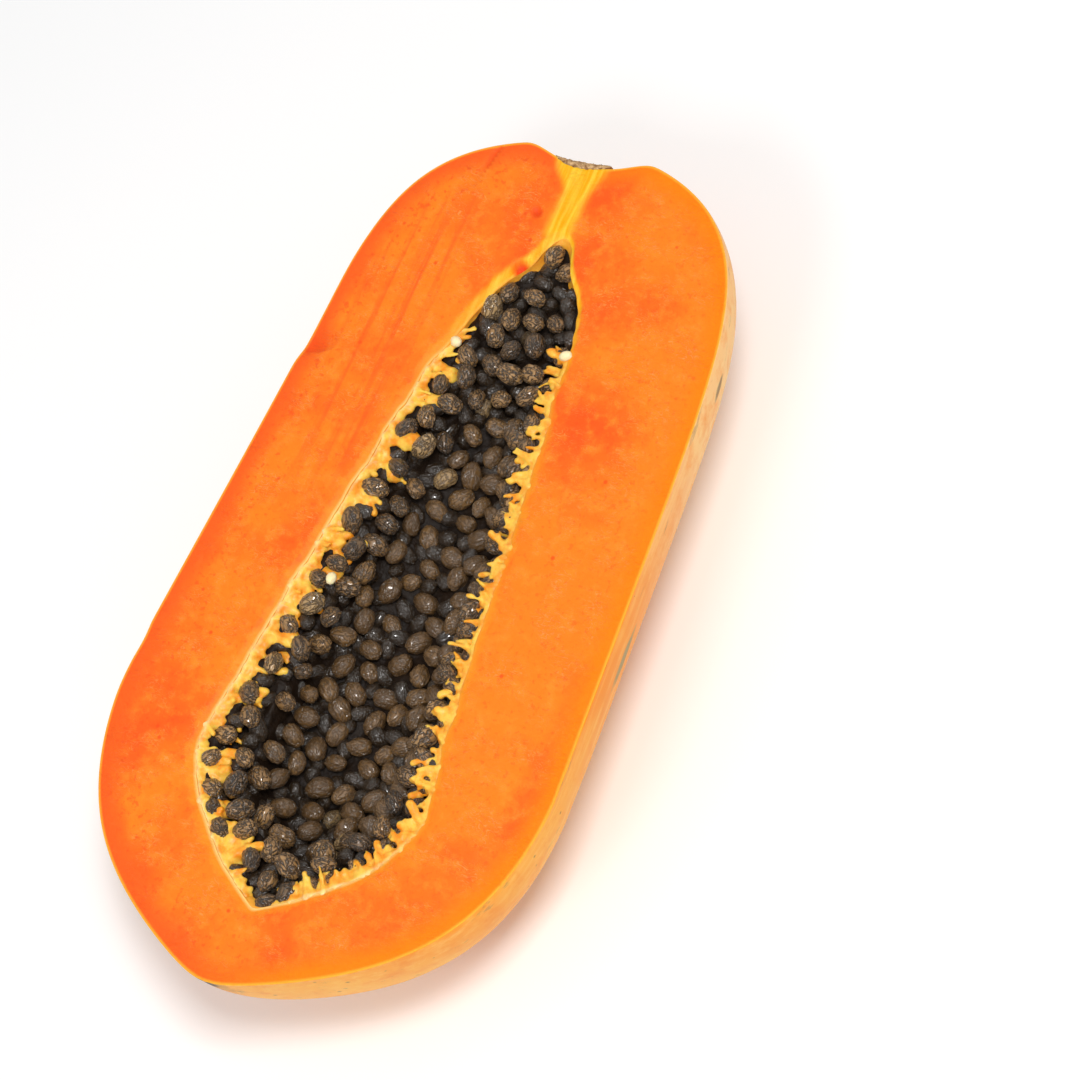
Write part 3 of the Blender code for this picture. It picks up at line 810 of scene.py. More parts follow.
def papaya_skin():
    """Ripe papaya skin: smooth, thin and waxy, yellow-orange with brown scuffs and specks."""
    made, tree, shader = new_material("ripe_papaya_skin", {
        "Roughness": 0.48, "IOR": 1.42, "Specular IOR Level": 0.35, "Subsurface Weight": 0.1,
        "Subsurface Scale": 0.003, "Subsurface Radius": (1.0, 0.45, 0.12)})
    place = object_place(tree)

    # Broad patches, fine lines along the fruit, a painted highlight on the right shoulder near the stem
    # end, and small mottling.
    broad = add_node(tree, "ShaderNodeTexNoise", {"Vector": place, "Scale": per_mm(45), "Detail": 4.0})
    patch = add_node(tree, "ShaderNodeMapRange", {0: broad, 1: 0.38, 2: 0.68})
    line_place = add_node(tree, "ShaderNodeMapping", {
        "Vector": place, "Scale": (per_mm(2.2), per_mm(60), per_mm(2.2))})
    line = add_node(tree, "ShaderNodeTexNoise", {
        "Vector": line_place, "Scale": 1.0, "Detail": 5.0, "Roughness": 0.6})
    lines = add_node(tree, "ShaderNodeMapRange", {0: line, 1: 0.48, 2: 0.72, 4: 0.55})
    # Painted highlight: the skin is painted pale cream round the right shoulder, where the light falls.
    highlight_far = add_node(tree, "ShaderNodeVectorMath", {0: place, 1: SHIFT + Vector(SHOULDER_HIGHLIGHT)},
                        operation="DISTANCE").outputs["Value"]
    pale = add_node(tree, "ShaderNodeMapRange", {0: highlight_far, 1: 0.070, 2: 0.015, 4: 0.7})
    small = add_node(tree, "ShaderNodeTexNoise", {
        "Vector": place, "Scale": per_mm(7), "Detail": 6.0, "Roughness": 0.65})
    mottle = add_node(tree, "ShaderNodeMapRange", {0: small, 1: 0.48, 2: 0.70, 4: 0.8})

    # Long scuffs, and specks that are larger where the broad patches are pale.
    scuff_place = add_node(tree, "ShaderNodeMapping", {
        "Vector": place, "Scale": (per_mm(5), per_mm(22), per_mm(5))})
    scuff = add_node(tree, "ShaderNodeTexNoise", {
        "Vector": scuff_place, "Scale": 1.0, "Detail": 7.0, "Roughness": 0.7})
    scuffs = add_node(tree, "ShaderNodeMapRange", {0: scuff, 1: 0.60, 2: 0.72, 4: 0.75})
    speck = add_node(tree, "ShaderNodeTexVoronoi", {"Vector": place, "Scale": per_mm(6)})
    speck_size = add_node(tree, "ShaderNodeMapRange", {0: broad, 1: 0.42, 2: 0.62, 3: 0.035, 4: 0.12})
    specks = add_node(tree, "ShaderNodeMapRange", {0: speck, 1: speck_size, 2: 0.03})
    coats = [(lines, "#FFC662"), (pale, "#FBD08C"), (mottle, "#F28E14"), (scuffs, "#9A7A45"),
             (specks, "#A8722C")]

    # Two old marks near the cut edge, then the smudge and the scar at the blossom end.
    for spot, colour, length, width in SKIN_MARKS:
        off = add_node(tree, "ShaderNodeVectorMath", {0: place, 1: SHIFT + Vector(spot)},
                       operation="SUBTRACT")
        squeezed = add_node(tree, "ShaderNodeVectorMath", {
            0: off, 1: (per_mm(3 * width), per_mm(length), per_mm(width))}, operation="MULTIPLY")
        away = add_node(tree, "ShaderNodeVectorMath", {0: squeezed}, operation="LENGTH")
        ragged = add_node(tree, "ShaderNodeMath", {0: scuff, 1: 2.4, 2: away.outputs["Value"]},
                          operation="MULTIPLY_ADD")
        mark = add_node(tree, "ShaderNodeMapRange", {0: ragged, 1: 2.2, 2: 1.7, 4: 0.85})
        coats.append((mark, colour))
    tip = SHIFT + Vector((TIP_OFFSET, BLOSSOM_END_Y, -2 * MM))
    tip_far = add_node(tree, "ShaderNodeVectorMath", {0: place, 1: tip},
                       operation="DISTANCE").outputs["Value"]
    smudge_edge = add_node(tree, "ShaderNodeMapRange", {0: small, 1: 0.35, 2: 0.65, 3: 0.003, 4: 0.015})
    smudge = add_node(tree, "ShaderNodeMapRange", {0: tip_far, 1: smudge_edge, 2: 0.002, 4: 0.6})
    scar = add_node(tree, "ShaderNodeMapRange", {0: tip_far, 1: 0.0034, 2: 0.0022})
    coats += [(smudge, "#84702C"), (scar, "#3A2412")]
    finish_material(tree, shader, "#F58E0A", [(patch, "#FBB640"), *coats], small, 0.25, 0.3)
    return made


def cavity_lining():
    """The wall of the seed cavity: torn, wet and yellow-orange."""
    made, tree, shader = new_material("papaya_cavity_lining_torn", {
        "Roughness": 0.4, "IOR": 1.38, "Subsurface Weight": 0.3, "Subsurface Scale": 0.003,
        "Subsurface Radius": (1.0, 0.45, 0.12)})
    place = object_place(tree)
    lumps = add_node(tree, "ShaderNodeTexNoise", {"Vector": place, "Scale": per_mm(3), "Detail": 5.0})
    finish_material(tree, shader, "#F08A12", [(lumps, "#FFC24A")], lumps, 0.8, 0.8)
    return made


def fibre_flesh():
    """Placenta fibres: soft pale threads and flaps, yellow-orange with paler torn edges."""
    made, tree, shader = new_material("papaya_placenta_fibres", {
        "Roughness": 0.36, "IOR": 1.38, "Subsurface Weight": 0.45, "Subsurface Scale": 0.002,
        "Subsurface Radius": (1.0, 0.55, 0.18)})
    place = object_place(tree)
    lumps = add_node(tree, "ShaderNodeTexNoise", {"Vector": place, "Scale": per_mm(3), "Detail": 5.0})
    yellow = add_node(tree, "ShaderNodeMapRange", {0: lumps, 1: 0.38, 2: 0.60})
    pale = add_node(tree, "ShaderNodeAttribute", attribute_name="pale")
    blotch = add_node(tree, "ShaderNodeTexNoise", {"Vector": place, "Scale": per_mm(2), "Detail": 3.0})
    creamy = add_node(tree, "ShaderNodeMath", {0: pale.outputs["Fac"], 1: blotch}, operation="MULTIPLY")
    coats = ((yellow, "#FFC650"), (creamy, "#FFEBB0"))
    finish_material(tree, shader, "#F7941E", coats, blotch, 0.5, 0.4)
    return made


def stalk_cork():
    """The stub of the stalk: dry, cracked cork, grey-brown."""
    made, tree, shader = new_material("dry_stalk_cork", {"Roughness": 0.85, "IOR": 1.45})
    place = object_place(tree)
    grain = add_node(tree, "ShaderNodeTexNoise", {
        "Vector": place, "Scale": per_mm(1.1), "Detail": 6.0, "Roughness": 0.7})
    light = add_node(tree, "ShaderNodeMapRange", {0: grain, 1: 0.36, 2: 0.66})
    finish_material(tree, shader, "#85572C", [(light, "#E8C08C")], grain, 0.8, 0.5)
    return made


def wet_seed():
    """A papaya seed in its clear gel: a crinkled dark grey-brown coat under a wet shine."""
    made, tree, shader = new_material("papaya_seed_in_gel", {
        "IOR": 1.48, "Specular IOR Level": 0.5, "Coat Weight": 1.0, "Coat Roughness": 0.06,
        "Coat IOR": 1.50, "Sheen Weight": 0.06, "Sheen Roughness": 0.40, "Sheen Tint": "#8C6A36"})
    point = add_node(tree, "ShaderNodeAttribute", attribute_name="seed_point").outputs["Vector"]
    tone = add_node(tree, "ShaderNodeAttribute", attribute_name="seed_tone").outputs["Fac"]
    # The gel attribute runs from 0 to 1 with the wetness of a seed's gel, and is 2 for the layer below,
    # which is painted as shade.
    gel = add_node(tree, "ShaderNodeAttribute", attribute_name="seed_gel_and_shade").outputs["Fac"]
    stretched = add_node(tree, "ShaderNodeMapping", {"Vector": point, "Scale": (1.0, 1.0, 0.55)})
    crinkle = add_node(tree, "ShaderNodeTexNoise", {
        "Vector": stretched, "Scale": 0.95, "Detail": 1.6, "Roughness": 0.5, "Distortion": 0.7})
    centred = add_node(tree, "ShaderNodeMath", {0: crinkle, 1: 0.5}, operation="SUBTRACT")
    folded = add_node(tree, "ShaderNodeMath", {0: centred}, operation="ABSOLUTE")
    ridge = add_node(tree, "ShaderNodeMapRange", {0: folded, 1: 0.0, 2: 0.12})
    dark = add_node(tree, "ShaderNodeMix", {0: tone, 6: "#63492B", 7: "#AE8450"}, data_type="RGBA")
    sunk = add_node(tree, "ShaderNodeMapRange", {0: gel, 1: 0.3, 2: 1.0, 4: 0.7})
    # Painted shade: seeds of the layer below, which carry a gel value of 2, are painted near black as if
    # in the shadow of those above.
    painted_shade_below = add_node(tree, "ShaderNodeMapRange", {0: gel, 1: 1.0, 2: 2.0, 4: 0.85})
    tan = add_node(tree, "ShaderNodeMapRange", {0: tone, 1: 0.970, 2: 0.975, 4: 0.8})
    tan_colour = add_node(tree, "ShaderNodeMix", {0: ridge, 6: "#5A4426", 7: "#A98A5C"},
                          data_type="RGBA")
    rough = add_node(tree, "ShaderNodeMapRange", {0: ridge, 3: 0.6, 4: 0.38})
    tree.links.new(rough.outputs[0], shader.inputs["Roughness"])
    depth = add_node(tree, "ShaderNodeMapRange", {0: gel, 3: 1.0, 4: 0.35})
    # In the thin valleys of the ridges the coat stays near black, and the tan seeds darker: partly the
    # seed's own dark coat, partly painted shade in the folds.
    coats = ((ridge, dark.outputs[2]), (sunk, "#583E1F"), (painted_shade_below, "#150E08"),
             (tan, tan_colour.outputs[2]))
    finish_material(tree, shader, "#160D06", coats, ridge, depth, 0.6)
    film = add_node(tree, "ShaderNodeBump", {"Height": ridge, "Strength": 0.8, "Distance": 0.3 * MM})
    tree.links.new(film.outputs[0], shader.inputs["Coat Normal"])
    return made


def painted_shade_under_seeds():
    """Painted shade: a near-black wet surface for the mass of seeds and gel seen deep between the seeds,
    dark as in shadow.
    """
    made, tree, shader = new_material("near_black_painted_shade", {
        "Roughness": 0.5, "IOR": 1.36, "Specular IOR Level": 0.25})
    place = object_place(tree)
    lumps = add_node(tree, "ShaderNodeTexNoise", {"Vector": place, "Scale": per_mm(3), "Detail": 4.0})
    finish_material(tree, shader, "#0C0806", [(lumps, "#2A1C10")], lumps, 0.8, 1.2)
    return made


def unripe_seed():
    """A seed that never ripened: small, pale cream and soft."""
    return new_material("unripe_papaya_seed", {
        "Base Color": "#FFE9B8", "Roughness": 0.4, "IOR": 1.4, "Subsurface Weight": 0.4,
        "Subsurface Scale": 0.0015, "Subsurface Radius": (1.0, 0.7, 0.4)})[0]


def add_seed(mesh, layers, rng, place, cage, gel):
    """One seed as a coarse cage: ovoid, with a few ridges from end to end, and its own coordinates."""
    centre, along, size = place
    ridges, bands = cage
    made = bmesh.ops.create_uvsphere(
        mesh, u_segments=2 * ridges, v_segments=bands, radius=1.0, calc_uvs=True)
    turn = Vector((0, 0, 1)).rotation_difference(along)
    phase = rng.uniform(0, math.tau)
    height = rng.uniform(0.02, 0.06)
    egg = rng.uniform(-0.12, 0.12)
    bend = rng.uniform(-0.08, 0.08)
    offset = Vector([rng.uniform(0, 500) for _ in range(3)])
    tone = rng.random()
    loops = {loop for vert in made["verts"] for loop in vert.link_loops}
    for loop in loops:
        u, v = loop[layers["crinkle"]].uv
        round_seed = u * math.pi * SEED_WIDTH * per_mm(RIDGE_SPACING)
        along_seed = v * SEED_LENGTH * 1.4 * per_mm(RIDGE_LENGTH)
        loop[layers["crinkle"]].uv = (round_seed / 2 + offset.x, along_seed / 2 + offset.y)
    for vert in made["verts"]:
        x, y, z = vert.co
        angle = math.atan2(y, x)
        ridge = 1 + height * math.cos(ridges * angle + phase * z) + egg * z
        local = Vector((x * ridge * SEED_WIDTH, y * ridge * SEED_WIDTH, z * SEED_LENGTH)) * 0.54
        local.x += bend * (1 - z * z) * SEED_WIDTH
        vert.co = centre + turn @ (local * size)
        vert[layers["seed_point"]] = local / MM + offset
        vert[layers["seed_tone"]] = tone
        vert[layers["seed_gel_and_shade"]] = gel


def seed_mesh():
    """An empty mesh for seeds, with the layers that their material and their ridges read."""
    mesh = bmesh.new()
    layers = {name: mesh.verts.layers.float.new(name) for name in ("seed_tone", "seed_gel_and_shade")}
    layers["seed_point"] = mesh.verts.layers.float_vector.new("seed_point")
    layers["crinkle"] = mesh.loops.layers.uv.new("crinkle")
    return mesh, layers


def crinkle_texture():
    """Folded noise that raises the wavy ridges of a seed's coat."""
    made = bpy.data.textures.new("seed_coat_ridges", "CLOUDS")
    made.noise_type = "HARD_NOISE"
    made.noise_basis = "IMPROVED_PERLIN"
    made.noise_scale = 1.0
    made.noise_depth = 1
    return made


def finish_seeds(name, mesh, coat, pattern, height):
    """Round the cages of a group of seeds, and raise the ridges of their coats."""
    made = to_piece(name, mesh, [coat], ["seeds"])
    rounded = made.modifiers.new("round", "SUBSURF")
    rounded.levels = 2
    rounded.render_levels = 2
    ridges = made.modifiers.new("ridges", "DISPLACE")
    ridges.texture = pattern
    ridges.texture_coords = "UV"
    ridges.uv_layer = "crinkle"
    ridges.mid_level = 0.35
    ridges.strength = height


def settled(place):
    """A seed beside the wall lies lower than in the solids, and clear of the torn edge."""
    centre, along, size = place
    side = 1 if centre.x > 0 else -1
    room = cavity_edge(centre.y, side) - abs(centre.x)
    near = fade(room, 2, 6.5)
    near *= rise(cavity_half_width(centre.y), 5, 14)
    if side < 0:
        inward = (2.0 * rim_thickness(centre.y, side) - 1.4) * MM * near
        down = 0.25 * MM * near
    else:
        inward = 1.6 * MM * near
        down = SEED_SETTLE * near
    return centre + Vector((-side * inward, 0, -down)), along, size * SEED_SHRINK


def add_strand(mesh, path, radii, flatness=1.0):
    """A strand as a row of overlapping beads along a path, to be fused later."""
    scale = Matrix.Diagonal((1.0, 1.0, flatness, 1.0))
    for point, radius in zip(path, radii):
        bmesh.ops.create_icosphere(mesh, subdivisions=2, radius=radius,
                                   matrix=Matrix.Translation(point) @ scale)


def strand_path(root, direction, length, curl, count):
    """Points along a strand that starts straight and curls to one side."""
    sideways = direction.cross(Vector((0, 0, 1))).normalized()
    path = []
    for i in range(count + 1):
        share = i / count
        path.append(root + direction * length * share + sideways * curl * share * share)
    return path


def add_finger(mesh, rng, root, direction, length, radius):
    """A blunt finger of placenta, sunk in the wall, often with a side branch and a swollen end."""
    count = max(5, round(length / (0.55 * MM)))
    curl = rng.uniform(-0.35, 0.35) * length
    path = strand_path(root - direction * 0.7 * MM, direction, length + 0.7 * MM, curl, count)
    swollen = rng.random() < 0.35
    radii = []
    for i in range(count + 1):
        share = i / count
        lump = 1 + 0.22 * noise.noise(path[i] * per_mm(1.3))
        end = 1.15 if swollen and share > 0.75 else 1 - 0.38 * share
        radii.append(radius * end * lump)
    add_strand(mesh, path, radii)
    if rng.random() < 0.5:
        start = path[round(count * rng.uniform(0.35, 0.6))]
        swing = rng.choice((-1, 1)) * rng.uniform(0.5, 1.0)
        branch = (direction + direction.cross(Vector((0, 0, 1))) * swing).normalized()
        steps = max(4, round(count * 0.5))
        twig = strand_path(start, branch, length * rng.uniform(0.3, 0.5), 0.0, steps)
        add_strand(mesh, twig, [radius * (0.85 - 0.3 * i / steps) for i in range(steps + 1)])


def wall_point(y, side, depth):
    """A point of the cavity's torn wall below the cut face, and the way into the cavity."""
    root, inward = even_wall_point(y, side, depth)
    root.x += side * rim_wander(y, side)
    return root, inward


def rim_lumps(rng):
    """Paths and radii of the uneven band of placenta along the cavity's edge, broad on the left."""
    lumps = []
    for side in (-1, 1):
        y = CAVITY_BLOSSOM_Y + 2.5 * MM
        while y < 60 * MM:
            thick = rim_thickness(y, side)
            broad = 1 - 0.65 * rise(y, 20, 60) if side < 0 else 0.22
            radius = rng.uniform(0.65, 1.35) * MM
            root, inward = wall_point(y, side, radius + rng.uniform(0.6, 1.2) * MM)
            reach = (0.2 + 2.9 * broad * thick * rng.uniform(0.4, 1.0)) * MM
            down = inward + Vector((0, rng.uniform(-0.7, 0.7), -rng.uniform(0.25, 0.75)))
            steps = 2 + round(reach / (0.7 * MM))
            path = [root + down * (reach * i / steps) for i in range(steps + 1)]
            lumps.append((path, [radius * (1 - 0.15 * i / steps) for i in range(steps + 1)]))
            y += rng.uniform(0.45, 0.8) * MM
    return lumps


def finger_roots(rng):
    """Root, direction, length and radius of the fingers that lie on the seeds beside each wall."""
    fingers = []
    for side, count in FINGER_COUNTS:
        for i in range(count):
            share = (i + rng.random()) / count
            y = -88 * MM + 152 * MM * (share ** 1.35 if side > 0 else share)
            radius = rng.uniform(0.55, 1.0) * MM
            depth = radius + rng.uniform(0.3, 2.2 if side > 0 else 3.5) * MM
            root, inward = wall_point(y, side, depth)
            drift = Vector((0, rng.uniform(-0.35, 0.95), rng.uniform(-0.25, 0.22)))
            length = rng.uniform(1.4, 6.5 if side > 0 else 4.5) * MM
            fingers.append((root, (inward + drift).normalized(), length, radius))
    for _ in range(BROAD_FINGERS):
        y = rng.uniform(-84, 56) * MM
        radius = rng.uniform(1.1, 1.9) * MM
        root, inward = wall_point(y, -1, radius + rng.uniform(0.9, 2.6) * MM)
        drift = Vector((0, rng.uniform(-0.7, 0.7), rng.uniform(-0.25, 0.05)))
        fingers.append((root, (inward + drift).normalized(), rng.uniform(3.0, 9.0) * MM, radius))
    return fingers


def build_fibres():
    """A heap of overlapping strands; each is made in a small mesh of its own, which is much quicker."""
    heap = bmesh.new()
    scratch = bpy.data.meshes.new("strand")
    rng = random.Random(FIBRE_DRAW)

    def lay(add, *shape, **options):
        strand = bmesh.new()
        add(strand, *shape, **options)
        strand.to_mesh(scratch)
        strand.free()
        heap.from_mesh(scratch)

    for finger in thread_places() + finger_roots(rng):
        lay(add_finger, rng, *finger)
    for path, radii in rim_lumps(rng):
        lay(add_strand, path, radii, flatness=0.8)
    bpy.data.meshes.remove(scratch)
    return heap


def fuse(name, mesh, voxel):
    """Fuse a heap of overlapping bodies into one skin, by a voxel Remesh that is applied."""
    data = bpy.data.meshes.new(name)
    mesh.to_mesh(data)
    mesh.free()
    heap = bpy.data.objects.new(name, data)
    bpy.context.scene.collection.objects.link(heap)
    modifier = heap.modifiers.new("fuse", "REMESH")
    modifier.mode = "VOXEL"
    modifier.voxel_size = voxel
    graph = bpy.context.evaluated_depsgraph_get()
    fused = bmesh.new()
    fused.from_mesh(heap.evaluated_get(graph).to_mesh())
    bpy.data.objects.remove(heap, do_unlink=True)
    bpy.data.meshes.remove(data)
    return fused


class PapayaFruitSettings(bpy.types.PropertyGroup):
    relief: bpy.props.FloatProperty(
        name="Relief", description="Height of the slight waves in the cut face", default=0.3 * MM,
        unit="LENGTH")
    flesh: bpy.props.FloatVectorProperty(
        name="Flesh", description="Main colour of the cut flesh", default=hex_colour("#FC811A")[:3],
        size=3, subtype="COLOR")


class PapayaSeedSettings(bpy.types.PropertyGroup):
    packed_depth: bpy.props.FloatProperty(
        name="Packed depth", description="How far below the seeds that show the next layer lies",
        default=2.9 * MM, unit="LENGTH")
    packed_room: bpy.props.FloatProperty(
        name="Packed room", description="Least distance between the centres of packed seeds",
        default=3.8 * MM, unit="LENGTH")
    ridge_height: bpy.props.FloatProperty(
        name="Ridge height", description="Height of the wavy ridges on a seed's coat",
        default=0.8 * MM, unit="LENGTH")


class PapayaStageSettings(bpy.types.PropertyGroup):
    floor_colour: bpy.props.FloatVectorProperty(
        name="Floor colour", description="Colour of the plain floor", default=hex_colour("#FBFBFB")[:3],
        size=3, subtype="COLOR")
    sky: bpy.props.FloatProperty(
        name="Sky light", description="Strength of the white light from all round", default=0.55)
    key: bpy.props.FloatProperty(
        name="Front softbox", description="Power of the softbox in front and above", default=6.0,
        unit="POWER")
    fill: bpy.props.FloatProperty(
        name="Side softbox", description="Power of the softbox beside the blossom end", default=1.6,
        unit="POWER")


class PAPAYA_OT_fruit(bpy.types.Operator):
    """Build the skin, the cut flesh and the wall of the seed cavity"""
    bl_idname = "papaya.fruit"
    bl_label = "Papaya Fruit"

    def execute(self, context):
        settings = context.scene.papaya_fruit
        flesh = ripe_flesh((*settings.flesh, 1.0))
        to_piece("papaya_half", build_fruit(settings.relief), [papaya_skin(), flesh, cavity_lining()],
                 ["fruit_half"])
        return {"FINISHED"}


class PAPAYA_OT_fibres(bpy.types.Operator):
    """Build the fibres and flaps of placenta along the cavity's edge"""
    bl_idname = "papaya.fibres"
    bl_label = "Placenta Fibres"

    def execute(self, context):
        mesh = fuse("placenta_heap", build_fibres(), FIBRE_VOXEL)
        pale = mesh.verts.layers.float.new("pale")
        for vert in mesh.verts:
            x, y, _ = vert.co
            inside = cavity_edge(y, 1 if x > 0 else -1) - abs(x)
            vert[pale] = fade(inside, -0.3, 0.9) * torn_share(x, y)
            vert.co += vert.normal * 0.38 * MM * noise.noise(vert.co * per_mm(1.5))
        smooth(mesh, mesh.verts[:], FIBRE_ROUNDS)
        to_piece("placenta_fibres", mesh, [fibre_flesh()], ["fruit_half"])
        return {"FINISHED"}


class PAPAYA_OT_stalk(bpy.types.Operator):
    """Build the corky scar of the stalk on the floor of the dent at the stem end"""
    bl_idname = "papaya.stalk"
    bl_label = "Stalk Scar"

    def execute(self, context):
        mesh = bmesh.new()
        bmesh.ops.create_uvsphere(mesh, u_segments=STUB_CELLS[0], v_segments=STUB_CELLS[1], radius=1.0)
        middle = Vector((TIP_OFFSET - 0.8 * MM, STEM_END_Y, 0))
        for vert in mesh.verts:
            x, y, z = vert.co
            z *= 1 if z < 0 else FLATTENED
            ragged = 1 + 0.10 * noise.noise(vert.co * 3) + 0.08 * noise.noise(vert.co * 12)
            across = Vector((x * STUB_RADIUS * 1.15, 0, z * STUB_RADIUS)) * ragged
            thick = y * (0.75 + 0.6 * noise.noise(vert.co * 7)) * MM
            vert.co = middle + across
            vert.co.y += thick - dent_drop(across.length) + SHOULDER_TILT * across.x
        bmesh.ops.recalc_face_normals(mesh, faces=mesh.faces[:])
        to_piece("stalk_stub", mesh, [stalk_cork()], ["fruit_half"])
        return {"FINISHED"}


class PAPAYA_OT_seeds(bpy.types.Operator):
    """Build the seeds that show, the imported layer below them, and the few that never ripened"""
    bl_idname = "papaya.seeds"
    bl_label = "Seeds"

    def execute(self, context):
        settings = context.scene.papaya_seeds
        coat = wet_seed()
        pattern = crinkle_texture()
        shown = sorted(seed_places(), key=lambda p: p[0].y)
        shown = [settled(p) for p in shown]
        shown = [p for p in shown if abs(p[0].x) < cavity_edge(p[0].y, p[0].x) - 1.2 * MM]
        shown.append((Vector(TIP_SEED), Vector((0.1, 1.0, -0.2)).normalized(), 0.95))
        rng = random.Random(COAT_DRAW)
        groups = ("seeds_blossom_end", "seeds_middle", "seeds_stem_end")
        share = math.ceil(len(shown) / len(groups))
        for i, name in enumerate(groups):
            mesh, layers = seed_mesh()
            for place in shown[i * share:(i + 1) * share]:
                deep = rise(-place[0].z, 5, 14)
                add_seed(mesh, layers, rng, place, SHOWN_CAGE, min(1.0, deep + 0.3 * rng.random()))
            finish_seeds(name, mesh, coat, pattern, settings.ridge_height)
        packed = {"seeds_packed_blossom_end": seed_mesh(), "seeds_packed_stem_end": seed_mesh()}
        for place in packed_places(shown, settings.packed_room, settings.packed_depth):
            end = "stem" if place[0].y > PACKED_SPLIT_Y else "blossom"
            mesh, layers = packed[f"seeds_packed_{end}_end"]
            # The gel value of 2 marks the layer below, which the seed material paints near black as
            # shade.
            add_seed(mesh, layers, rng, place, PACKED_CAGE, 2.0)
        for name, (mesh, layers) in packed.items():
            finish_seeds(name, mesh, coat, pattern, settings.ridge_height)
        mesh, layers = seed_mesh()
        for x, y in UNRIPE_SPOTS:
            along = Vector((rng.uniform(-1, 1), rng.uniform(-1, 1), 0.3)).normalized()
            place = (Vector((x, y, -0.9 * MM)), along, 0.55)
            add_seed(mesh, layers, rng, place, UNRIPE_CAGE, 0.5)
        finish_seeds("seeds_unripe", mesh, unripe_seed(), pattern, 0.5 * settings.ridge_height)
        return {"FINISHED"}


class PAPAYA_OT_bed(bpy.types.Operator):
    """Build the mass under the seeds, painted near black as shade, which hides the cavity's floor"""
    bl_idname = "papaya.bed"
    bl_label = "Seed Bed"

    def execute(self, context):
        mesh = bmesh.new()
        bmesh.ops.create_grid(mesh, x_segments=BED_CELLS[0], y_segments=BED_CELLS[1], size=1.0)
        middle = (CAVITY_BLOSSOM_Y + CAVITY_STEM_Y) / 2
        reach = (CAVITY_STEM_Y - CAVITY_BLOSSOM_Y) / 2 - 1.5 * MM
        for vert in mesh.verts:
            y = middle + vert.co.y * reach
            side = 1 if vert.co.x > 0 else -1
            edge = max(cavity_edge(y, side) + 0.5 * MM, 0.3 * MM)
            x = vert.co.x * edge
            low = max(bed_height(x, y) - 3.4 * MM, floor_height(x, y) + 1.2 * MM)
            spot = Vector((x, y, min(low, -2.8 * MM)))
            spot.z += 0.8 * MM * noise.noise(spot * per_mm(3.2))
            vert.co = spot
        bmesh.ops.recalc_face_normals(mesh, faces=mesh.faces[:])
        to_piece("seed_bed", mesh, [painted_shade_under_seeds()], ["seeds"])
        return {"FINISHED"}


class PAPAYA_OT_stage(bpy.types.Operator):
    """Set up the floor, the soft light and the camera"""
    bl_idname = "papaya.stage"
    bl_label = "Stage"

    def execute(self, context):
        settings = context.scene.papaya_stage
        mesh = bmesh.new()
        bmesh.ops.create_grid(mesh, x_segments=1, y_segments=1, size=6.0)
        data = bpy.data.meshes.new("floor")
        mesh.to_mesh(data)
        mesh.free()
        floor = bpy.data.objects.new("floor", data)
        context.scene.collection.objects.link(floor)
        data.materials.append(new_material("matt_white_paint", {
            "Roughness": 0.9, "Base Color": (*settings.floor_colour, 1.0)})[0])
        sky = bpy.data.worlds.new("white_studio")
        sky.use_nodes = True
        back = sky.node_tree.nodes["Background"]
        back.inputs["Color"].default_value = (1, 1, 1, 1)
        back.inputs["Strength"].default_value = settings.sky
        context.scene.world = sky
        add_softbox("softbox_front", 84, 70, 1.10, settings.key)
        add_softbox("softbox_side", 8, 56, 1.00, settings.fill)
        add_camera()
        context.scene.view_settings.view_transform = "Standard"
        return {"FINISHED"}


def direction_to(azimuth, elevation):
    """Unit vector from the fruit, with azimuth 0 at -Y and a quarter turn at +X."""
    flat = math.cos(elevation)
    return Vector((math.sin(azimuth) * flat, -math.cos(azimuth) * flat, math.sin(elevation)))


def add_softbox(name, azimuth, elevation, distance, power):
    """A square area light that faces the fruit."""
    data = bpy.data.lights.new(name, "AREA")
    data.size = SOFTBOX_SIZE
    data.energy = power
    lamp = bpy.data.objects.new(name, data)
    away = direction_to(math.radians(azimuth), math.radians(elevation))
    lamp.location = away * distance
    lamp.rotation_mode = "QUATERNION"
    lamp.rotation_quaternion = away.to_track_quat("Z", "Y")
    bpy.context.scene.collection.objects.link(lamp)


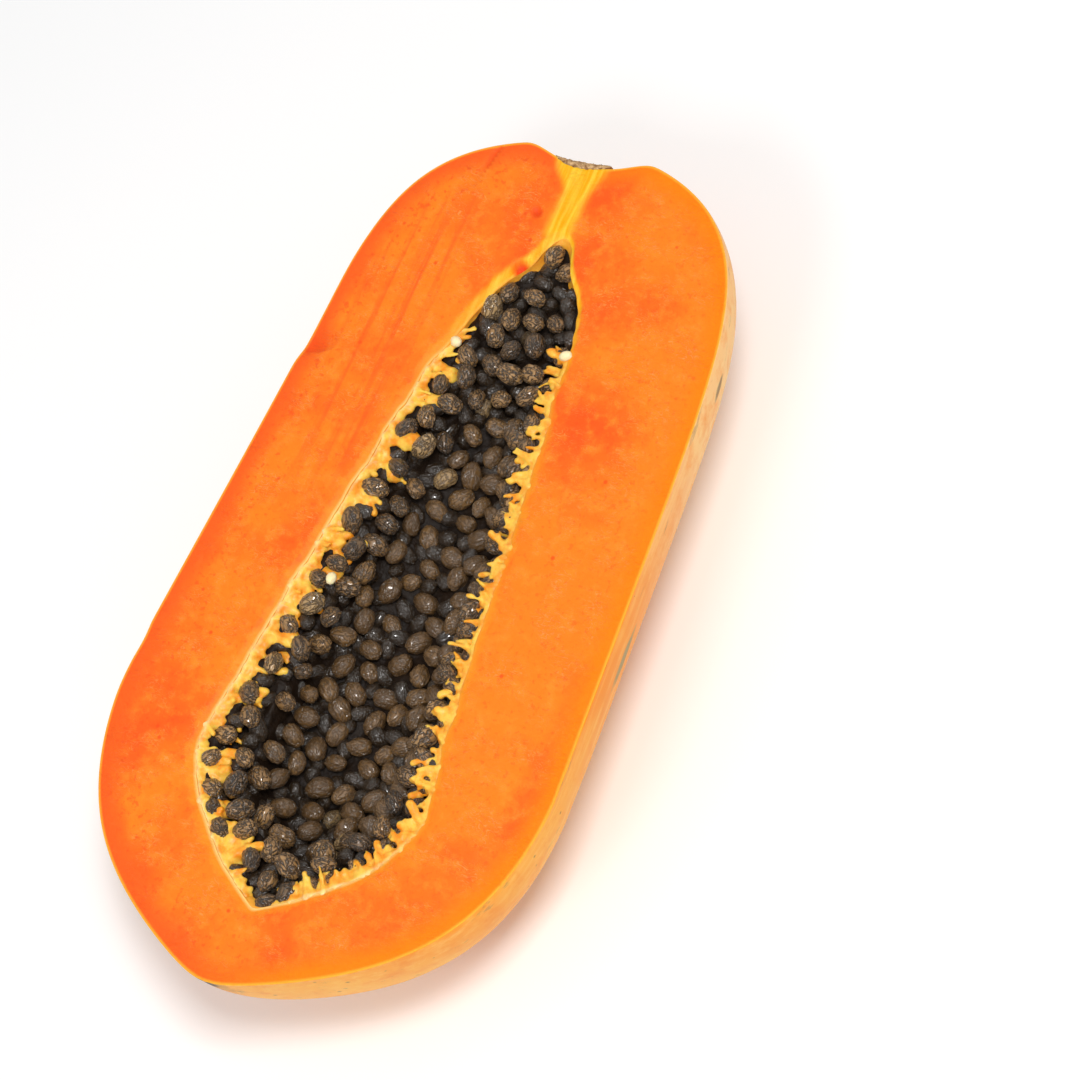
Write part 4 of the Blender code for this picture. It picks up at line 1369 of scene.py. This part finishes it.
def add_camera():
    """A camera that looks down on the cut face, turned so that the fruit leans as in the photo."""
    back = direction_to(CAMERA_AZIMUTH, CAMERA_ELEVATION)
    right = Vector((0, 0, 1)).cross(back).normalized()
    up = back.cross(right)
    turned_right = right * math.cos(CAMERA_ROLL) + up * math.sin(CAMERA_ROLL)
    turned_up = up * math.cos(CAMERA_ROLL) - right * math.sin(CAMERA_ROLL)
    data = bpy.data.cameras.new("camera")
    data.lens = CAMERA_LENS
    camera = bpy.data.objects.new("camera", data)
    axes = Matrix((turned_right, turned_up, back)).transposed().to_4x4()
    camera.matrix_world = Matrix.Translation(LOOK_AT + SHIFT + back * CAMERA_DISTANCE) @ axes
    bpy.context.scene.collection.objects.link(camera)
    bpy.context.scene.camera = camera


class PAPAYA_PT_panel(bpy.types.Panel):
    """Lists the papaya's operators and settings"""
    bl_idname = "PAPAYA_PT_panel"
    bl_label = "Papaya Half"
    bl_space_type = "VIEW_3D"
    bl_region_type = "UI"
    bl_category = "Papaya"

    def draw(self, context):
        for operator in OPERATORS:
            self.layout.operator(operator.bl_idname)
        for settings in (context.scene.papaya_fruit, context.scene.papaya_seeds,
                         context.scene.papaya_stage):
            for name in settings.__annotations__:
                self.layout.prop(settings, name)


OPERATORS = (PAPAYA_OT_fruit, PAPAYA_OT_stalk, PAPAYA_OT_fibres, PAPAYA_OT_bed, PAPAYA_OT_seeds,
             PAPAYA_OT_stage)
SETTINGS = {"papaya_fruit": PapayaFruitSettings, "papaya_seeds": PapayaSeedSettings,
            "papaya_stage": PapayaStageSettings}


def register():
    for one in (*SETTINGS.values(), *OPERATORS, PAPAYA_PT_panel):
        bpy.utils.register_class(one)
    for name, one in SETTINGS.items():
        setattr(bpy.types.Scene, name, bpy.props.PointerProperty(type=one))


def unregister():
    for name in SETTINGS:
        delattr(bpy.types.Scene, name)
    for one in (PAPAYA_PT_panel, *reversed(OPERATORS), *SETTINGS.values()):
        bpy.utils.unregister_class(one)


def clear_start_scene():
    """Remove the cube, lamp and camera that a new file opens with."""
    for name in ("Cube", "Light", "Camera"):
        old = bpy.data.objects.get(name)
        if old is not None:
            bpy.data.objects.remove(old, do_unlink=True)


def main():
    """Register the add-on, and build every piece."""
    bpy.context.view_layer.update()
    clear_start_scene()
    register()
    bpy.ops.papaya.fruit()
    bpy.ops.papaya.stalk()
    bpy.ops.papaya.fibres()
    bpy.ops.papaya.bed()
    bpy.ops.papaya.seeds()
    bpy.ops.papaya.stage()


if __name__ == "__main__":
    main()
